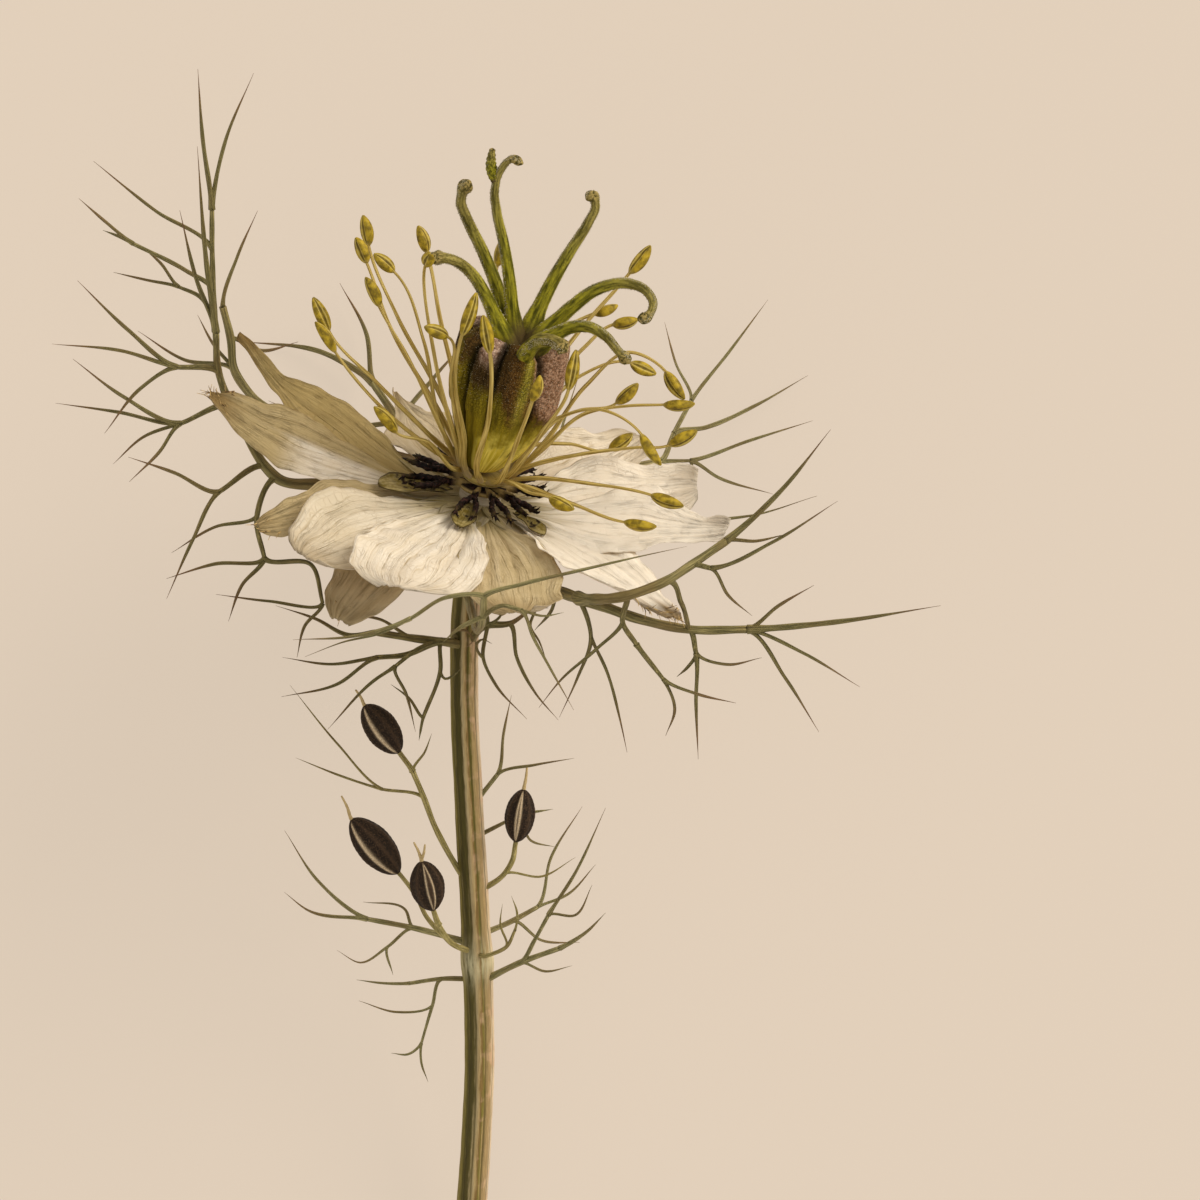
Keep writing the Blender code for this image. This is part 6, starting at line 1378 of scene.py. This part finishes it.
def build_frond(name, threads, material, slot, tip, slim):
    """Threads that grow out of the stem, leave each other in smooth forks and end in fine points."""
    shape = Shape()
    leads = {}
    axis = smooth_path(np.array(STEM_PATH)[:, :3], 0.4)
    for number, (start, end, way) in enumerate(threads):
        way = [np.array(point, float) for point in way]
        ends_free = not any(np.allclose(way[-1], other[2][0]) for other in threads[number + 1:])
        lead = leads.get(tuple(np.round(way[0], 2)))
        if lead is not None:
            lead = lead * np.linalg.norm(way[1] - way[0]) * 0.75
        else:
            near = np.linalg.norm(axis - (way[0] - FROND_ROOT), axis=1).argmin()
            way[0] = axis[near]
        for case in SEED_CASES:
            foot = np.array(case[0])
            if np.linalg.norm(way[-1] - foot) < CASE_JOINT:
                way.append(foot + (np.array(case[1]) - foot) * 0.15)
                ends_free = False
        path = smooth_path(way, 0.3, lead)
        for here, following in zip(way, way[1:]):
            leads[tuple(np.round(following, 2))] = unit(following - here)
        share = np.linspace(0, 1, len(path))
        length = np.linalg.norm(np.diff(path, axis=0), axis=1).sum()
        radii = (start + (end - start) * share) / 2 * slim
        if ends_free:
            radii = radii * (0.14 + 0.86 * ease(share, 1.0, 0.5) ** 0.7)
        if number:
            radii = radii * (1 + 0.25 * ease(share, 0.12, 0.0))
        phase = RANDOM.uniform(0, math.tau)
        radii = radii * (1 + 0.05 * np.sin(share * len(path) * 0.5 + phase))
        turn = np.arange(FROND_SIDES) * math.tau / FROND_SIDES
        relief = 1 + 0.09 * np.cos(4 * turn + phase) - 0.16 * np.exp(-((np.cos(turn) - 1) / 0.12) ** 2)
        reddened = float(ends_free) * tip * ease(length, 3.5, 8.0)
        tube(shape, path, radii, FROND_SIDES, relief, flat=0.88, tip=reddened)
    shape.piece(name + "_fine", material, name, slot)


def build_fronds():
    bract = frond_material("bract", (0.075, 0.062, 0.012, 1), (0.32, 0.26, 0.095, 1), (0.26, 0.13, 0.055, 1))
    leaf = frond_material("leaf", (0.13, 0.115, 0.03, 1), (0.44, 0.37, 0.16, 1), (0.32, 0.19, 0.08, 1))
    stalk = frond_material("stalk", (0.19, 0.145, 0.03, 1), (0.54, 0.44, 0.17, 1), (0.30, 0.20, 0.06, 1))
    for name, threads in FRONDS.items():
        if name.startswith("stalk"):
            build_frond(name, threads, stalk, "stalk", 0.6, 0.7)
        elif name == "bract_front":
            build_frond(name, threads, leaf, "bract", 0.8, 0.75)
        elif name.endswith("right_back"):
            build_frond(name, threads, leaf, "bract", 0.9, 0.85)
        elif name.startswith("bract_lower"):
            build_frond(name, threads, bract, "bract", 0.7, 0.85)
        elif name.startswith("bract"):
            build_frond(name, threads, bract, "bract", 0.95, 0.95)
        else:
            build_frond(name, threads, leaf, "bract", 0.8, 0.78)


def build_seed_cases():
    """Granular ribbed cases with pale sutures and thin beaks."""
    dark, pale = seed_case_material(), beak_material()
    for number, (start, end, width, beaks) in enumerate(SEED_CASES, 1):
        start, end = np.array(start), np.array(end)
        share = np.linspace(0, 1, CASE_ROWS)
        path = start + (end - start) * share[:, None]
        radii = width / 2 * np.sin(math.pi * np.clip(share, 0.006, 0.994)) ** 0.52
        turn = np.arange(CASE_SIDES) * math.tau / CASE_SIDES
        rib = np.cos(SEED_CASE_RIBS * turn / 2) ** 2
        away, wide = np.abs(turn - math.pi), 0.2 * np.sin(math.pi * share)[:, None] ** 0.5
        parted = OPEN_CASES.get(number, 0.0)
        suture = np.exp(-((away - parted * wide) / (0.05 + 0.07 * (1 - parted))) ** 2)
        suture = suture + 0.6 * np.exp(-((np.abs(turn[None] - 1.3) + 0 * share[:, None]) / 0.05) ** 2)
        suture = suture * ease(share, 0.0, 0.1)[:, None] * ease(share, 1.0, 0.93)[:, None]
        relief = 0.92 + 0.09 * rib + 0.05 * suture
        relief = relief + 0.015 * np.sin(9 * turn + share[:, None] * 31) * np.sin(share[:, None] * 50)
        case = Shape()
        hint = CASE_HINTS[number - 1]
        tube(case, path, radii, CASE_SIDES, relief, hint=hint, suture=suture, rib=rib ** 4)
        case.piece(f"seed_case_{number}_fine", dark, f"seed_case_{number}", "seed_case")
        points = Shape()
        for tip in beaks:
            inside = end + (start - end) * BEAK_SINK
            way = smooth_path([inside, end, (end + tip) / 2 + (0.06, 0.05, 0.1), tip], 0.12)
            share = np.linspace(0, 1, len(way))
            tube(points, way, 0.2 - 0.12 * share, 10, 1 + 0.06 * np.sin(share[:, None] * 30))
        points.piece(f"seed_case_{number}_beak", pale, f"seed_case_{number}", "seed_case")


def sun(name, towards, softness, strength, colour):
    """A light that comes from a direction, with soft shadows."""
    lamp = bpy.data.lights.new(name, "SUN")
    lamp.angle = math.radians(softness)
    lamp.energy = strength
    lamp.color = colour
    thing = bpy.data.objects.new(name, lamp)
    thing.rotation_euler = Vector(towards).to_track_quat("Z", "Y").to_euler()
    bpy.context.scene.collection.objects.link(thing)


def build_stage():
    """The floor, the soft lights and the camera that looks straight down."""
    scene = bpy.context.scene
    bpy.ops.mesh.primitive_plane_add(size=FLOOR_SIZE)
    floor = bpy.context.object
    floor.name = "floor"
    floor.data.materials.append(floor_material())
    world = bpy.data.worlds.new("studio")
    world.use_nodes = True
    world.node_tree.nodes["Background"].inputs["Color"].default_value = (1.0, 0.965, 0.91, 1)
    world.node_tree.nodes["Background"].inputs["Strength"].default_value = 0.8
    scene.world = world
    sun("key", (0.75, 0.6, 0.5), 40, 2.4, (1.0, 0.94, 0.84))
    camera = bpy.data.cameras.new("camera")
    camera.sensor_width = SENSOR
    camera.lens = SENSOR * VIEW_DISTANCE / VIEW_WIDTH
    camera.clip_end = 10.0
    eye = bpy.data.objects.new("camera", camera)
    middle = (np.array((*VIEW_CENTRE, 0)) + ORIGIN) * MM
    eye.location = (middle[0], middle[1], VIEW_DISTANCE * MM)
    scene.collection.objects.link(eye)
    scene.camera = eye
    scene.view_settings.view_transform = "Standard"


build_stem()
build_petals()
build_nectaries()
build_stamens()
build_pod()
build_down()
build_styles()
build_fronds()
build_seed_cases()
build_stage()
